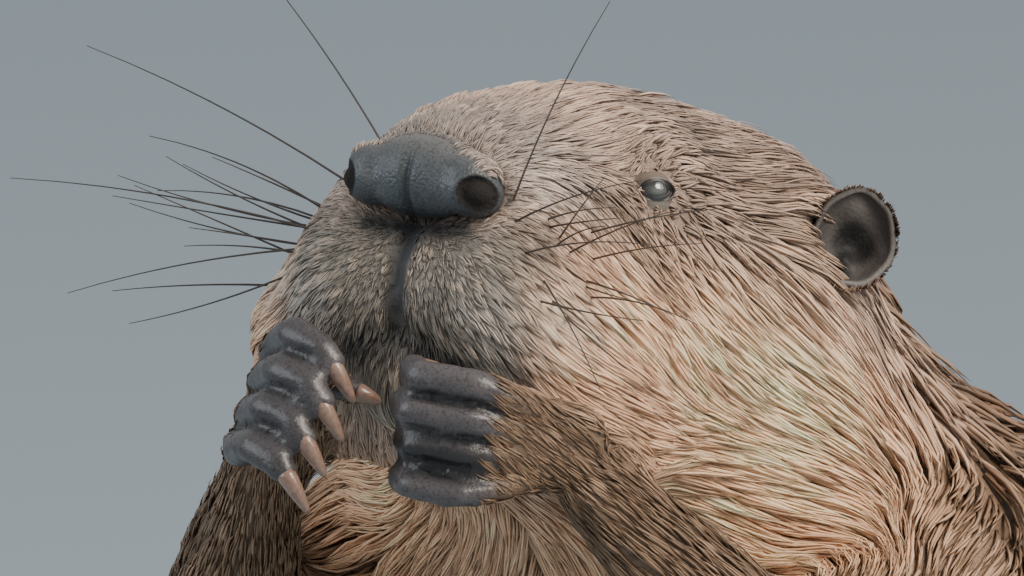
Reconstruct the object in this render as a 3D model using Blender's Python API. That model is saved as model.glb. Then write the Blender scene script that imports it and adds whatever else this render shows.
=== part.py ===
"""A beaver sitting on its haunches with both forepaws at its mouth, life size.

Frame: metres, +Z up, the beaver faces -Y and its left side is +X. The origin is on the floor, under the
middle of the whole animal. Every solid is the outer shape of the coat, so skin and hair fit inside it.

The head, neck and trunk are modelled as one form and parted with thin cuts. The limbs, tail, ears, nose,
eyes and claws are closed solids of their own, and what they grow from is carved back to leave a thin gap.
"""

import math

import bmesh
import bpy
import numpy as np
from mathutils import Matrix, Quaternion, Vector

MM = 0.001
GAP = 0.35 * MM

# Driving dimensions of an adult of about 20 kg. Forward is -Y; heights are above the floor.
NOSE_TIP = (188 * MM, 430 * MM)  # forward of the hips' centre line, and up
HEAD_PITCH = math.radians(25)  # the muzzle is raised
MIDDLE_FORWARD = -108.4 * MM  # the middle of the animal's length, nose end to tail tip
TAIL_LENGTH = 262 * MM
HIND_FOOT_SPLAY = math.radians(14)
EYE_RADIUS = 5.6 * MM
SIDES = {"left": 1, "right": -1}


def world(side, forward, height):
    """A point from how far it is to the beaver's left, how far forward and how high, in metres."""
    return Vector((side, -(forward - MIDDLE_FORWARD), height))


def body_point(side, forward, height):
    """The same from millimetres."""
    return world(side * MM, forward * MM, height * MM)


def head_point(side, forward, up):
    """A point in the head's own frame, in millimetres from the nose tip along the raised muzzle."""
    cosine, sine = math.cos(HEAD_PITCH), math.sin(HEAD_PITCH)
    ahead = NOSE_TIP[0] + (forward * cosine - up * sine) * MM
    height = NOSE_TIP[1] + (forward * sine + up * cosine) * MM
    return world(side * MM, ahead, height)


def head_direction(side, forward, up):
    return (head_point(side, forward, up) - head_point(0, 0, 0)).normalized()


# ---------------------------------------------------------------- mesh helpers


def new_object(name, mesh):
    made = bpy.data.objects.new(name, mesh)
    bpy.context.scene.collection.objects.link(made)
    return made


def mesh_from(bm, name="shape"):
    bm.normal_update()
    bmesh.ops.recalc_face_normals(bm, faces=bm.faces)
    mesh = bpy.data.meshes.new(name)
    bm.to_mesh(mesh)
    bm.free()
    return mesh


def evaluated(thing):
    """The object's mesh with its modifiers applied, as a new object. The old one is removed."""
    graph = bpy.context.evaluated_depsgraph_get()
    mesh = bpy.data.meshes.new_from_object(thing.evaluated_get(graph))
    mesh.transform(thing.matrix_world)
    name = thing.name
    bpy.data.objects.remove(thing)
    return new_object(name, mesh)


def frame_between(start, end, across):
    """Right-handed axes whose Z runs from start to end and whose X is as near across as it can be."""
    along = (end - start).normalized()
    sideways = (across - across.dot(along) * along).normalized()
    return Matrix((sideways, along.cross(sideways), along)).transposed()


def blob(centre, radii, axes=None, detail=3):
    """An ellipsoid. axes is a 3x3 rotation, the head's or the world's if left out."""
    bm = bmesh.new()
    bmesh.ops.create_icosphere(bm, subdivisions=detail, radius=1.0)
    turn = (axes or Matrix.Identity(3)).to_4x4()
    bm.transform(Matrix.Translation(centre) @ turn @ Matrix.Diagonal((*radii, 1.0)))
    return mesh_from(bm)


def head_axes():
    """Columns: the head's left, forward and up."""
    return Matrix(
        (head_direction(1, 0, 0), head_direction(0, 1, 0), head_direction(0, 0, 1))
    ).transposed()


def head_blob(side, forward, up, radii, detail=3):
    return blob(head_point(side, forward, up), [r * MM for r in radii], head_axes(), detail)


def ring(centre, sideways, upward, half_width, top, bottom, squareness=2.0, points=32):
    """A closed outline: an ellipse with its own height above and below centre, squarer as squareness grows."""
    power = 2.0 / squareness
    made = []
    for i in range(points):
        angle = 2 * math.pi * i / points
        c, s = math.cos(angle), math.sin(angle)
        across = half_width * math.copysign(abs(c) ** power, c)
        up = math.copysign(abs(s) ** power, s) * (top if s > 0 else bottom)
        made.append(centre + sideways * across + upward * up)
    return made


def loft(rings):
    """A closed skin through rings that all have the same number of points, with domed-flat ends."""
    bm = bmesh.new()
    rows = [[bm.verts.new(p) for p in outline] for outline in rings]
    for near, far in zip(rows, rows[1:]):
        for i in range(len(near)):
            j = (i + 1) % len(near)
            bm.faces.new((near[i], near[j], far[j], far[i]))
    for row in (rows[0], rows[-1]):
        middle = bm.verts.new(sum((v.co for v in row), Vector()) / len(row))
        for i in range(len(row)):
            bm.faces.new((row[i], row[(i + 1) % len(row)], middle))
    return mesh_from(bm)


def catmull(points, steps):
    """Points along a smooth curve through the given ones, each a tuple of numbers."""
    p = np.array([tuple(q) for q in points], float)
    p = np.vstack([2 * p[0] - p[1], p, 2 * p[-1] - p[-2]])
    made = []
    for i in range(1, len(p) - 2):
        for t in np.arange(steps) / steps:
            a, b, c, d = p[i - 1 : i + 3]
            made.append(
                0.5 * (2 * b + (c - a) * t + (2 * a - 5 * b + 4 * c - d) * t**2)
                + 0.5 * (3 * b - a - 3 * c + d) * t**3
            )
    made.append(p[-2])
    return np.array(made)


def limb(stations, across, steps=4, points=16):
    """A tube of oval section. Each station is (x, y, z, half width, half depth), and its ends are rounded."""
    rows = catmull(stations, steps)
    centres = [Vector(row[:3]) for row in rows]
    rings = []
    for i, row in enumerate(rows):
        before, after = centres[max(i - 1, 0)], centres[min(i + 1, len(rows) - 1)]
        axes = frame_between(before, after, across)
        rings.append(
            ring(centres[i], axes.col[0], axes.col[1], row[3], row[4], row[4], points=points)
        )
    for end, inner, row in ((0, 1, rows[0]), (-1, -2, rows[-1])):
        outward = (centres[end] - centres[inner]).normalized()
        axes = frame_between(centres[inner], centres[end], across)
        if end == 0:
            axes = frame_between(centres[end], centres[inner], across)
        for angle in (35, 65, 82):
            lift = math.sin(math.radians(angle)) * min(row[3], row[4])
            narrow = math.cos(math.radians(angle))
            cap = ring(
                centres[end] + outward * lift,
                axes.col[0],
                axes.col[1],
                row[3] * narrow,
                row[4] * narrow,
                row[4] * narrow,
                points=points,
            )
            rings = [cap, *rings] if end == 0 else [*rings, cap]
    return loft(rings)


def fuse(name, meshes, voxel, smoothing, triangles, favour=None):
    """One closed skin round overlapping closed meshes, smoothed and thinned to about that many triangles.

    favour(point) is from 0 to 1, and keeps more of the triangles where it is high.
    """
    bm = bmesh.new()
    for mesh in meshes:
        bm.from_mesh(mesh)
    whole = new_object(name, mesh_from(bm))
    remesh = whole.modifiers.new("one skin", "REMESH")
    remesh.mode, remesh.voxel_size = "VOXEL", voxel
    smooth = whole.modifiers.new("soften", "SMOOTH")
    smooth.factor, smooth.iterations = 0.5, smoothing
    whole.modifiers.new("triangles", "TRIANGULATE")
    whole = evaluated(whole)
    thin = whole.modifiers.new("thin", "DECIMATE")
    thin.ratio = min(1.0, triangles / len(whole.data.polygons))
    if favour:
        group = whole.vertex_groups.new(name="coarse")
        for vertex in whole.data.vertices:
            group.add([vertex.index], 1.0 - favour(vertex.co), "REPLACE")
        thin.vertex_group, thin.vertex_group_factor = "coarse", 1.0
    return evaluated(whole)


def kept_side(source, name, point, normal):
    """The part of a closed solid on the side that normal points to, closed with a flat face."""
    bm = bmesh.new()
    bm.from_mesh(source.data)
    geometry = [*bm.verts, *bm.edges, *bm.faces]
    bmesh.ops.bisect_plane(
        bm, geom=geometry, dist=1e-7, plane_co=point, plane_no=normal, clear_inner=True
    )
    rim = [edge for edge in bm.edges if edge.is_boundary]
    filled = bmesh.ops.holes_fill(bm, edges=rim, sides=0)
    bmesh.ops.triangulate(bm, faces=filled["faces"])
    return new_object(name, mesh_from(bm))


def cut_in_two(source, point, normal, near_name, far_name):
    """Parts a solid across a plane with a thin gap. The far part lies on the side normal points to."""
    normal = normal.normalized()
    far = kept_side(source, far_name, point + normal * GAP / 2, normal)
    near = kept_side(source, near_name, point - normal * GAP / 2, -normal)
    bpy.data.objects.remove(source)
    return near, far


def duplicate(source):
    """An uncut copy, kept to carve what the solid grows from."""
    made = new_object("cutter", source.data.copy())
    made.hide_render, made.display_type = True, "WIRE"
    return made


def carve(target, tools, gap=GAP):
    """Cuts every tool, grown by the gap, out of target."""
    for tool in tools:
        grown = duplicate(tool)
        if gap:
            swell = grown.modifiers.new("gap", "DISPLACE")
            swell.strength, swell.mid_level = gap, 0.0
        cut = target.modifiers.new("carve", "BOOLEAN")
        cut.operation, cut.object, cut.solver = "DIFFERENCE", grown, "EXACT"
        target = evaluated(target)
        bpy.data.objects.remove(grown)
    return main_piece(target)


def main_piece(source):
    """Drops the slivers that a cut has parted from the solid."""
    bm = bmesh.new()
    bm.from_mesh(source.data)
    pieces, seen = [], set()
    for start in bm.verts:
        if start in seen:
            continue
        piece, edge_of_search = {start}, [start]
        while edge_of_search:
            for edge in edge_of_search.pop().link_edges:
                for vertex in edge.verts:
                    if vertex not in piece:
                        piece.add(vertex)
                        edge_of_search.append(vertex)
        seen |= piece
        pieces.append(piece)
    keep = max(pieces, key=len)
    bmesh.ops.delete(bm, geom=[v for v in bm.verts if v not in keep], context="VERTS")
    bm.to_mesh(source.data)
    bm.free()
    return source


def stand_flat(source):
    """Cuts the solid level with the floor, so that it rests on a small flat."""
    name = source.name
    source.name = "uncut"
    made = kept_side(source, name, Vector((0, 0, 0)), Vector((0, 0, 1)))
    bpy.data.objects.remove(source)
    return made


# ---------------------------------------------------------------- head, neck and trunk

# Forward of the nose tip, top, bottom, half width, level of the widest point, squareness. Millimetres.
HEAD_STATIONS = (
    (-9, 9, -30, 25, -14, 2.2),
    (-17, 21, -43, 36, -18, 2.3),
    (-32, 32, -52, 47, -24, 2.2),
    (-50, 43.5, -59, 54, -28, 2.1),
    (-70, 49.5, -65, 59, -28, 2.0),
    (-95, 54, -70, 63, -24, 2.0),
    (-122, 58, -72, 66, -18, 2.0),
    (-150, 60, -70, 68, -12, 2.0),
)

# Forward, height, half width, half depth. Millimetres.
TRUNK_STATIONS = (
    (-120, 62, 80, 54),
    (-92, 102, 127, 90),
    (-62, 146, 149, 118),
    (-32, 195, 152, 126),
    (-2, 243, 138, 114),
    (28, 285, 116, 95),
    (55, 325, 91, 74),
    (78, 357, 75, 62),
    (100, 378, 66, 58),
)


def head_forms():
    sideways, upward = head_direction(1, 0, 0), head_direction(0, 0, 1)
    rows = catmull(HEAD_STATIONS, 4)
    rings = []
    for forward, top, bottom, half_width, level, squareness in rows:
        rings.append(
            ring(
                head_point(0, forward, level),
                sideways,
                upward,
                half_width * MM,
                (top - level) * MM,
                (level - bottom) * MM,
                squareness,
            )
        )
    forms = [loft(rings), head_blob(0, -30, -50, (17, 17, 13))]
    for sign in SIDES.values():
        forms += [
            head_blob(sign * 21, -22, -22, (21, 18, 22)),  # whisker pad
            head_blob(sign * 40, -56, -36, (24, 40, 30)),  # jowl
            head_blob(sign * 29, -74, 29, (15, 28, 13)),  # brow
            head_blob(sign * 50, -132, 22, (16, 20, 22)),  # the swelling that the ear stands on
        ]
    return forms


def trunk_forms():
    rows = catmull(TRUNK_STATIONS, 3)
    centres = [body_point(0, row[0], row[1]) for row in rows]
    rings = []
    for i, (forward, height, half_width, half_depth) in enumerate(rows):
        before, after = centres[max(i - 1, 0)], centres[min(i + 1, len(rows) - 1)]
        axes = frame_between(before, after, Vector((1, 0, 0)))
        depth = half_depth * MM
        rings.append(
            ring(centres[i], axes.col[0], axes.col[1], half_width * MM, depth, depth)
        )
    forms = [loft(rings)]
    forms.append(blob(body_point(0, -78, 84), (124 * MM, 86 * MM, 86 * MM)))  # rump
    forms.append(blob(body_point(0, -4, 116), (118 * MM, 84 * MM, 86 * MM)))  # belly
    forms.append(blob(body_point(0, 30, 362), (48 * MM, 54 * MM, 46 * MM)))  # nape
    for sign in SIDES.values():
        forms.append(blob(body_point(sign * 60, 52, 288), (44 * MM, 52 * MM, 54 * MM)))
    return forms


def towards_face(point):
    """How much of the mesh's fineness a place keeps: most on the muzzle, least behind the neck."""
    away = (point - head_point(0, -20, 0)).length
    return max(0.35, min(0.85, 1.1 - away / 0.17))


def core():
    """Head, neck and trunk in one piece, then parted across the nape and the shoulders."""
    whole = fuse("core", head_forms() + trunk_forms(), 4 * MM, 12, 1450, towards_face)
    nape, throat = body_point(0, 24, 402), body_point(0, 128, 318)
    across = Vector((1, 0, 0))
    rest, head = cut_in_two(
        whole, nape, across.cross(nape - throat), "rest", "head"
    )
    withers, breast = body_point(0, -36, 352), body_point(0, 118, 262)
    trunk, neck = cut_in_two(
        rest, withers, across.cross(withers - breast), "trunk", "neck"
    )
    return head, neck, stand_flat(trunk)


# ---------------------------------------------------------------- face


def nose():
    """The bare leathery pad with its two nostril wings and their pits."""
    forms = [head_blob(0, -9, 4, (18, 10, 13))]
    for sign in SIDES.values():
        forms.append(head_blob(sign * 15.5, -9, 1, (8.5, 9.5, 9)))
    pad = fuse("nose", forms, 1.2 * MM, 4, 220)
    pits = []
    for sign in SIDES.values():
        pit = head_blob(sign * 22, -3, -1, (5.2, 6.5, 4.6), detail=2)
        pits.append(new_object("pit", pit))
    pad = carve(pad, pits, gap=0)
    for pit in pits:
        bpy.data.objects.remove(pit)
    return pad


def eyes():
    made = []
    for side, sign in SIDES.items():
        ball = head_blob(sign * 40.5, -54.5, 17, [EYE_RADIUS / MM] * 3, detail=2)
        made.append(new_object(f"eye_{side}", ball))
    return made


def bowl(centre, axes, radii, wall, points=14, rows=4):
    """A cup with a rounded rim. Its opening faces along the axes' Z, and its depth is the third radius."""
    outline = []
    for i in range(rows):  # up the outside, from the pole to the rim
        angle = math.radians(12 + 78 * i / (rows - 1))
        outline.append((math.sin(angle), -math.cos(angle), 0.0))
    outline.append((1.0, 0.0, 0.5))
    for i in reversed(range(rows)):  # and down the inside
        angle = math.radians(12 + 78 * i / (rows - 1))
        outline.append((math.sin(angle), -math.cos(angle), 1.0))
    rings = []
    for across, depth, inward in outline:
        a, b, c = (radius - wall * inward for radius in radii)
        lift = wall * 0.4 if inward == 0.5 else 0.0
        middle = centre + axes.col[2] * (depth * c + lift)
        rings.append(ring(middle, axes.col[0], axes.col[1], a * across, b * across, b * across, points=points))
    return loft(rings)


def ears():
    """(the ears, the plugs that clear the head for them)"""
    made, plugs = [], []
    for side, sign in SIDES.items():
        facing = head_direction(sign * 0.62, 0.74, 0.12)
        upright = head_direction(0, -0.25, 1)
        axes = frame_between(Vector(), facing, upright)
        centre = head_point(sign * 60.5, -127, 26)
        shell = bowl(centre, axes, (14 * MM, 11.5 * MM, 8 * MM), 1.8 * MM)
        made.append(new_object(f"ear_{side}", shell))
        turn = axes.to_4x4()
        turn.translation = centre
        bm = bmesh.new()
        bmesh.ops.create_icosphere(bm, subdivisions=3, radius=1.02)
        bm.transform(turn @ Matrix.Diagonal((14 * MM, 11.5 * MM, 8 * MM, 1.0)))
        plugs.append(new_object(f"plug_{side}", mesh_from(bm)))
    return made, plugs


# Side, how far back and how high the root is on the muzzle, the direction to the beaver's left, forward and
# up, and the length. These are the longest whiskers; the rest stay inside their reach.
WHISKERS = (
    ("left", -14, 5, (0.32, 0.10, 0.94), 54),
    ("left", -13, -3, (0.80, 0.45, 0.14), 58),
    ("left", -13, -11, (0.85, 0.50, 0.00), 60),
    ("left", -16, -18, (0.70, 0.45, -0.55), 54),
    ("right", -13, 11, (-0.70, 0.19, 0.68), 62),
    ("right", -16, 3, (-0.94, 0.18, 0.29), 80),
    ("right", -14, -12, (-0.985, 0.145, 0.01), 84),
    ("right", -16, -18, (-0.92, 0.13, -0.32), 62),
)


def whiskers(head):
    """Thin tapered feelers that arch a little. Each starts just clear of the muzzle's fur."""
    made = []
    bpy.context.view_layer.update()
    for i, (side, forward, up, direction, length) in enumerate(WHISKERS):
        sign = SIDES[side]
        start = head_point(sign * 90, forward, up)
        found, root, _, _ = head.ray_cast(start, head_direction(-sign, 0, 0))
        if not found:
            raise ValueError(f"whisker {i} finds no muzzle")
        along = head_direction(*direction)
        aside = along.cross(Vector((0, 0, 1))).normalized()
        arch = aside.cross(along).normalized()
        rings = []
        for t in (0, 0.35, 0.7, 1):
            middle = root + along * (1.2 + t * length) * MM + arch * 0.10 * length * t * (1 - t) * MM
            thick = (0.55 - 0.18 * t) * MM
            rings.append(ring(middle, aside, arch, thick, thick, thick, points=3))
        made.append(new_object(f"whisker_{side}_{i % 4 + 1}", loft(rings)))
    return made


# ---------------------------------------------------------------- limbs

# Side, where the knuckles are, how much the palm points up, how far each finger bone has turned from the palm,
# the hand's roll, both in degrees, how far it is from one finger's middle to the next, in millimetres, and how
# much each bone sags towards the little finger.
HANDS = (
    ("left", (37, 221, 373), 0.16, (46, 104, 128), 0, 9.4, (0, 0, 0)),
    ("right", (-23, 220, 378), 0.40, (15, 55, 85), -20, 10.4, (0, 0.25, 0.6)),
)
OPEN_PITCH = 9.6  # the pitch of a relaxed hand, at which the sizes below hold
FINGER_BONES = ((15.0, 5.2), (11.0, 4.7), (5.0, 4.1))  # length and half thickness
FORECLAW_LENGTH = 12.5
HINDCLAW_LENGTH = 17.0


def claw(name, root, along, down, length, half_width):
    """A tapered claw that leaves root along one direction and bends down towards its blunt tip."""
    rings = []
    across = along.cross(down).normalized()
    for i in range(4):
        t = i / 3
        bend = 0.85 * t
        middle = root + (along * math.sin(bend) + down * (1 - math.cos(bend))) * length / 0.85
        narrow = 1 - 0.75 * t**1.4
        upward = (down * -math.cos(bend) + along * math.sin(bend)).normalized()
        high = half_width * 1.15 * narrow
        rings.append(ring(middle, across, upward, half_width * narrow, high, high * 0.8, points=5))
    return new_object(name, loft(rings))


def forepaw(side, knuckles, lift, curl, roll, pitch, sag):
    """A loosely clenched hand and its claws. Its numbers are those of HANDS."""
    sign = SIDES[side]
    palm = Vector((sign * -0.45, -0.80, lift)).normalized()
    dorsal = Vector((sign * 0.87, -0.49, 0.0)).normalized()
    dorsal = Quaternion(palm, math.radians(roll)) @ dorsal
    stack = palm.cross(dorsal).normalized()
    stack *= math.copysign(1.0, stack.z)
    heart = body_point(*knuckles)
    wrist = heart - palm * 30 * MM
    rows = []
    for t, half_width, half_depth in ((-0.12, 12.5, 9), (0.35, 15, 9.5), (0.75, 17.5, 9), (1.0, 17.5, 7.5)):
        half_width = half_width * (1 - t) + half_width * pitch / OPEN_PITCH * t
        rows.append((*(wrist + palm * 30 * MM * t), half_width * MM, half_depth * MM))
    forms, claws = [limb(rows, stack, steps=3)], []
    for i in range(5):
        if i < 4:
            place = heart + stack * (1.5 - i) * pitch * MM - palm * 3 * MM
            bones = [(length, thick * pitch / OPEN_PITCH) for length, thick in FINGER_BONES]
            turns, sags, size = curl, sag, 1.0 - 0.06 * abs(i - 1)
        else:  # the thumb lies inside the index finger
            place = heart + (stack * 10 - palm * 16 - dorsal * 5) * MM
            bones, turns, sags, size = ((9.0, 4.4), (7.0, 4.0), (3.0, 3.4)), (55, 70, 80), (0, 0, 0), 1.0
        path = [(*place, bones[0][1] * MM, bones[0][1] * MM)]
        for (length, thick), turn, down in zip(bones, turns, sags):
            angle = math.radians(turn)
            direction = (palm * math.cos(angle) - dorsal * math.sin(angle) - stack * down).normalized()
            place = place + direction * length * size * MM
            path.append((*place, thick * size * MM, thick * size * MM))
        forms.append(limb(path, stack, steps=3, points=12))
        angle = math.radians(turns[-1] + 6)
        onward = (palm * math.cos(angle) - dorsal * math.sin(angle) - stack * sags[-1] * 1.3).normalized()
        inward = palm * -math.sin(angle) - dorsal * math.cos(angle)
        length = FORECLAW_LENGTH * (0.55 if i == 4 else 1.0)
        root = place + onward * 0.5 * MM - inward * 0.6 * MM
        claws.append(claw(f"foreclaw_{side}_{i + 1}", root, onward, inward, length * MM, 2.6 * MM))
    paw = fuse(f"forepaw_{side}", forms, 1.6 * MM, 3, 340)
    return paw, claws, wrist, palm, stack


def arm(side, wrist, palm, stack):
    """Upper arm and forearm, parted at the elbow; the forearm ends just short of the wrist."""
    sign = SIDES[side]
    elbow, shoulder = body_point(sign * 92, 132, 286), body_point(sign * 72, 52, 300)
    towards = (wrist - elbow).normalized()
    lower = [
        (*(elbow - towards * 4 * MM), 27 * MM, 25 * MM),
        (*elbow.lerp(wrist, 0.35), 25 * MM, 22 * MM),
        (*elbow.lerp(wrist, 0.75), 16.5 * MM, 14.5 * MM),
        (*wrist.lerp(elbow, 0.06), 13 * MM, 11 * MM),
    ]
    upper = [
        (*shoulder, 42 * MM, 42 * MM),
        (*shoulder.lerp(elbow, 0.55), 34 * MM, 36 * MM),
        (*elbow, 26 * MM, 27 * MM),
    ]
    whole = fuse("arm", [limb(lower, stack), limb(upper, stack)], 3 * MM, 5, 220)
    bend = ((wrist - elbow).normalized() + (elbow - shoulder).normalized()).normalized()
    return cut_in_two(whole, elbow - bend * 6 * MM, bend, f"upper_arm_{side}", f"forearm_{side}")


def hind_leg(side):
    """Thigh, shank and webbed hind foot, with the foot's claws. Carved later, smallest first."""
    sign = SIDES[side]
    ahead = Vector((sign * math.sin(HIND_FOOT_SPLAY), -math.cos(HIND_FOOT_SPLAY), 0))
    outward = Vector((-ahead.y, ahead.x, 0)) * sign
    heel = body_point(sign * 100, -46, 0)

    def foot_point(along, across, height):
        return heel + (ahead * along + outward * across) * MM + Vector((0, 0, height * MM))

    instep = [
        (*foot_point(4, 0, 17), 16 * MM, 17 * MM),
        (*foot_point(30, 0, 16), 19 * MM, 17 * MM),
        (*foot_point(58, 0, 12), 25 * MM, 13 * MM),
        (*foot_point(80, 1, 8), 30 * MM, 10 * MM),
    ]
    forms, claws = [limb(instep, outward, steps=3)], []
    toe_lengths = (38, 52, 60, 58, 46)
    web = []
    for i, length in enumerate(toe_lengths):
        fan = math.radians((i - 2) * 11)
        root = foot_point(72, (i - 2) * 11.5, 7.5)
        direction = ahead * math.cos(fan) + outward * math.sin(fan)
        knuckle = root + direction * length * 0.5 * MM + Vector((0, 0, 2.5 * MM))
        tip = root + direction * length * MM - Vector((0, 0, 1.0 * MM))
        path = [(*root, 8 * MM, 8 * MM), (*knuckle, 7.2 * MM, 7 * MM), (*tip, 6.4 * MM, 6 * MM)]
        forms.append(limb(path, outward, steps=3, points=12))
        web.append(root + direction * length * 0.92 * MM)
        claws.append(
            claw(
                f"hindclaw_{side}_{i + 1}",
                tip + direction * 1.5 * MM + Vector((0, 0, 1.5 * MM)),
                (direction + Vector((0, 0, 0.12))).normalized(),
                Vector((0, 0, -1)),
                HINDCLAW_LENGTH * (0.8 if i < 2 else 1.0) * MM,
                3.4 * MM,
            )
        )
    forms.append(webbing([foot_point(66, (i - 2) * 12, 0) for i in range(5)], web))
    foot = fuse(f"hind_foot_{side}", forms, 2.4 * MM, 3, 360)
    thigh_axes = frame_between(Vector(), Vector((sign * 0.22, -1, -0.12)), Vector((0, 0, 1)))
    thigh = blob(body_point(sign * 100, -2, 118), (80 * MM, 58 * MM, 94 * MM), thigh_axes)
    thigh = fuse(f"thigh_{side}", [thigh], 6 * MM, 1, 200)
    shank = limb(
        [
            (*body_point(sign * 116, 40, 66), 24 * MM, 24 * MM),
            (*body_point(sign * 112, 6, 46), 27 * MM, 26 * MM),
            (*body_point(sign * 102, -40, 34), 20 * MM, 20 * MM),
        ],
        outward,
        steps=1,
        points=12,
    )
    shank = new_object(f"shank_{side}", shank)
    return thigh, shank, foot, claws


def webbing(roots, tips):
    """A thin skin between the toes, scalloped at its free edge."""
    bm = bmesh.new()
    low, high = 1.5 * MM, 6.0 * MM
    edge = []
    for i, tip in enumerate(tips):
        edge.append(tip)
        if i + 1 < len(tips):
            edge.append(tip.lerp(tips[i + 1], 0.5) * 0.8 + roots[i].lerp(roots[i + 1], 0.5) * 0.2)
    outline = roots[::-1] + edge
    rows = [[bm.verts.new((p.x, p.y, z)) for p in outline] for z in (low, high)]
    bm.faces.new(rows[0])
    bm.faces.new(rows[1])
    for i in range(len(outline)):
        j = (i + 1) % len(outline)
        bm.faces.new((rows[0][i], rows[0][j], rows[1][j], rows[1][i]))
    bmesh.ops.triangulate(bm, faces=bm.faces)
    return mesh_from(bm)


# ---------------------------------------------------------------- tail


def tail():
    """The furred root and the flat scaly paddle, lying on the floor."""
    root = limb(
        [
            (*body_point(0, -118, 80), 72 * MM, 58 * MM),
            (*body_point(0, -166, 46), 55 * MM, 42 * MM),
            (*body_point(0, -206, 22), 41 * MM, 23 * MM),
        ],
        Vector((1, 0, 0)),
        steps=1,
        points=16,
    )
    root = new_object("tail_root", root)
    # Share of the length, half width and height of the middle ridge, in millimetres.
    stations = (
        (0.0, 35, 33), (0.08, 41, 27), (0.22, 52, 22), (0.42, 61, 19), (0.62, 63, 16),
        (0.8, 57, 13), (0.92, 42, 10), (0.985, 20, 7.5),
    )
    rings = []
    for share, half_width, high in stations:
        centre = body_point(0, -200 - share * TAIL_LENGTH / MM, 2.9)
        outline = []
        for i in range(18):
            angle = 2 * math.pi * i / 18
            c, rise = math.cos(angle), math.sin(angle)
            across = math.copysign(abs(c) ** 0.75, c)
            up = 3.2 * math.copysign(abs(rise) ** 0.75, rise)
            if rise > 0:
                up += (high - 6) * (1 - across**2) ** 1.2
            outline.append(centre + Vector((across * half_width * MM, 0, up * MM)))
        rings.append(outline)
    paddle = new_object("tail_paddle", loft(rings))
    end = body_point(0, -214, 0)
    behind = kept_side(paddle, "tail_paddle_cut", end + Vector((0, GAP, 0)), Vector((0, 1, 0)))
    ahead = kept_side(root, "tail_root_cut", end, Vector((0, -1, 0)))
    bpy.data.objects.remove(paddle)
    bpy.data.objects.remove(root)
    behind.name, ahead.name = "tail_paddle", "tail_root"
    return stand_flat(ahead), stand_flat(behind)


# ---------------------------------------------------------------- materials

# Kind of surface: (red, green, blue), roughness.
SURFACES = {
    "coat": ((0.17, 0.10, 0.055), 0.75),
    "leather": ((0.045, 0.045, 0.055), 0.45),
    "foot": ((0.05, 0.038, 0.032), 0.5),
    "scales": ((0.035, 0.033, 0.035), 0.55),
    "horn": ((0.16, 0.10, 0.065), 0.35),
    "eyeball": ((0.012, 0.010, 0.009), 0.08),
    "whisker": ((0.09, 0.07, 0.06), 0.4),
}


def finish(made, surface):
    """Gives each solid a material of its own, named after it."""
    colour, roughness = SURFACES[surface]
    for solid in made:
        material = bpy.data.materials.new(solid.name)
        material.use_nodes = True
        shader = material.node_tree.nodes["Principled BSDF"]
        shader.inputs["Base Color"].default_value = (*colour, 1)
        shader.inputs["Roughness"].default_value = roughness
        material.diffuse_color = (*colour, 1)
        solid.data.materials.clear()
        solid.data.materials.append(material)


# ---------------------------------------------------------------- run

for old in list(bpy.data.objects):
    bpy.data.objects.remove(old)

head, neck, trunk = core()
nose_pad = nose()
eye_balls = eyes()
ear_shells, ear_plugs = ears()
paws, foreclaws, arms, whole_arms = [], [], [], []
for side, *pose in HANDS:
    paw, claws, wrist, palm, stack = forepaw(side, *pose)
    upper_arm, forearm = arm(side, wrist, palm, stack)
    whole_arms += [duplicate(upper_arm), duplicate(forearm)]
    paw = carve(paw, claws)
    forearm = carve(forearm, [paw])
    paws.append(paw)
    foreclaws += claws
    arms += [upper_arm, forearm]
legs, whole_legs, feet, hindclaws = [], [], [], []
for side in SIDES:
    thigh, shank, foot, claws = hind_leg(side)
    foot = carve(stand_flat(foot), claws)
    whole_legs += [duplicate(thigh), duplicate(shank)]
    shank = carve(shank, [foot])
    thigh = carve(thigh, [foot, shank])
    legs += [thigh, shank]
    feet.append(foot)
    hindclaws += claws
tail_root, tail_paddle = tail()
head = carve(head, [nose_pad, *eye_balls, *ear_plugs, *paws, *foreclaws, *whole_arms])
neck = carve(neck, whole_arms)
trunk = carve(trunk, [*whole_arms, *whole_legs, *feet, tail_root])
for cutter in (*ear_plugs, *whole_arms, *whole_legs):
    bpy.data.objects.remove(cutter)
feelers = whiskers(head)

finish([head, neck, trunk, tail_root, *arms, *legs], "coat")
finish([nose_pad, *ear_shells], "leather")
finish([*paws, *feet], "foot")
finish([tail_paddle], "scales")
finish([*foreclaws, *hindclaws], "horn")
finish(eye_balls, "eyeball")
finish(feelers, "whisker")
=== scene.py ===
# %% [markdown]
# # A sitting beaver
#
# This lesson dresses a plain solid model of a beaver. The solids give the animal's outline out to the tips
# of its coat. Here they get one skin, bare leather on nose, hands, feet and tail, and a wet coat in pointed
# locks.
#
# Everything is in metres, +Z up. The beaver faces -Y and its left side is +X.

# %% Load the frame
import math

import bmesh
import bpy
import numpy as np
from mathutils import Matrix, Quaternion, Vector
from mathutils.bvhtree import BVHTree
from mathutils.kdtree import KDTree


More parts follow.
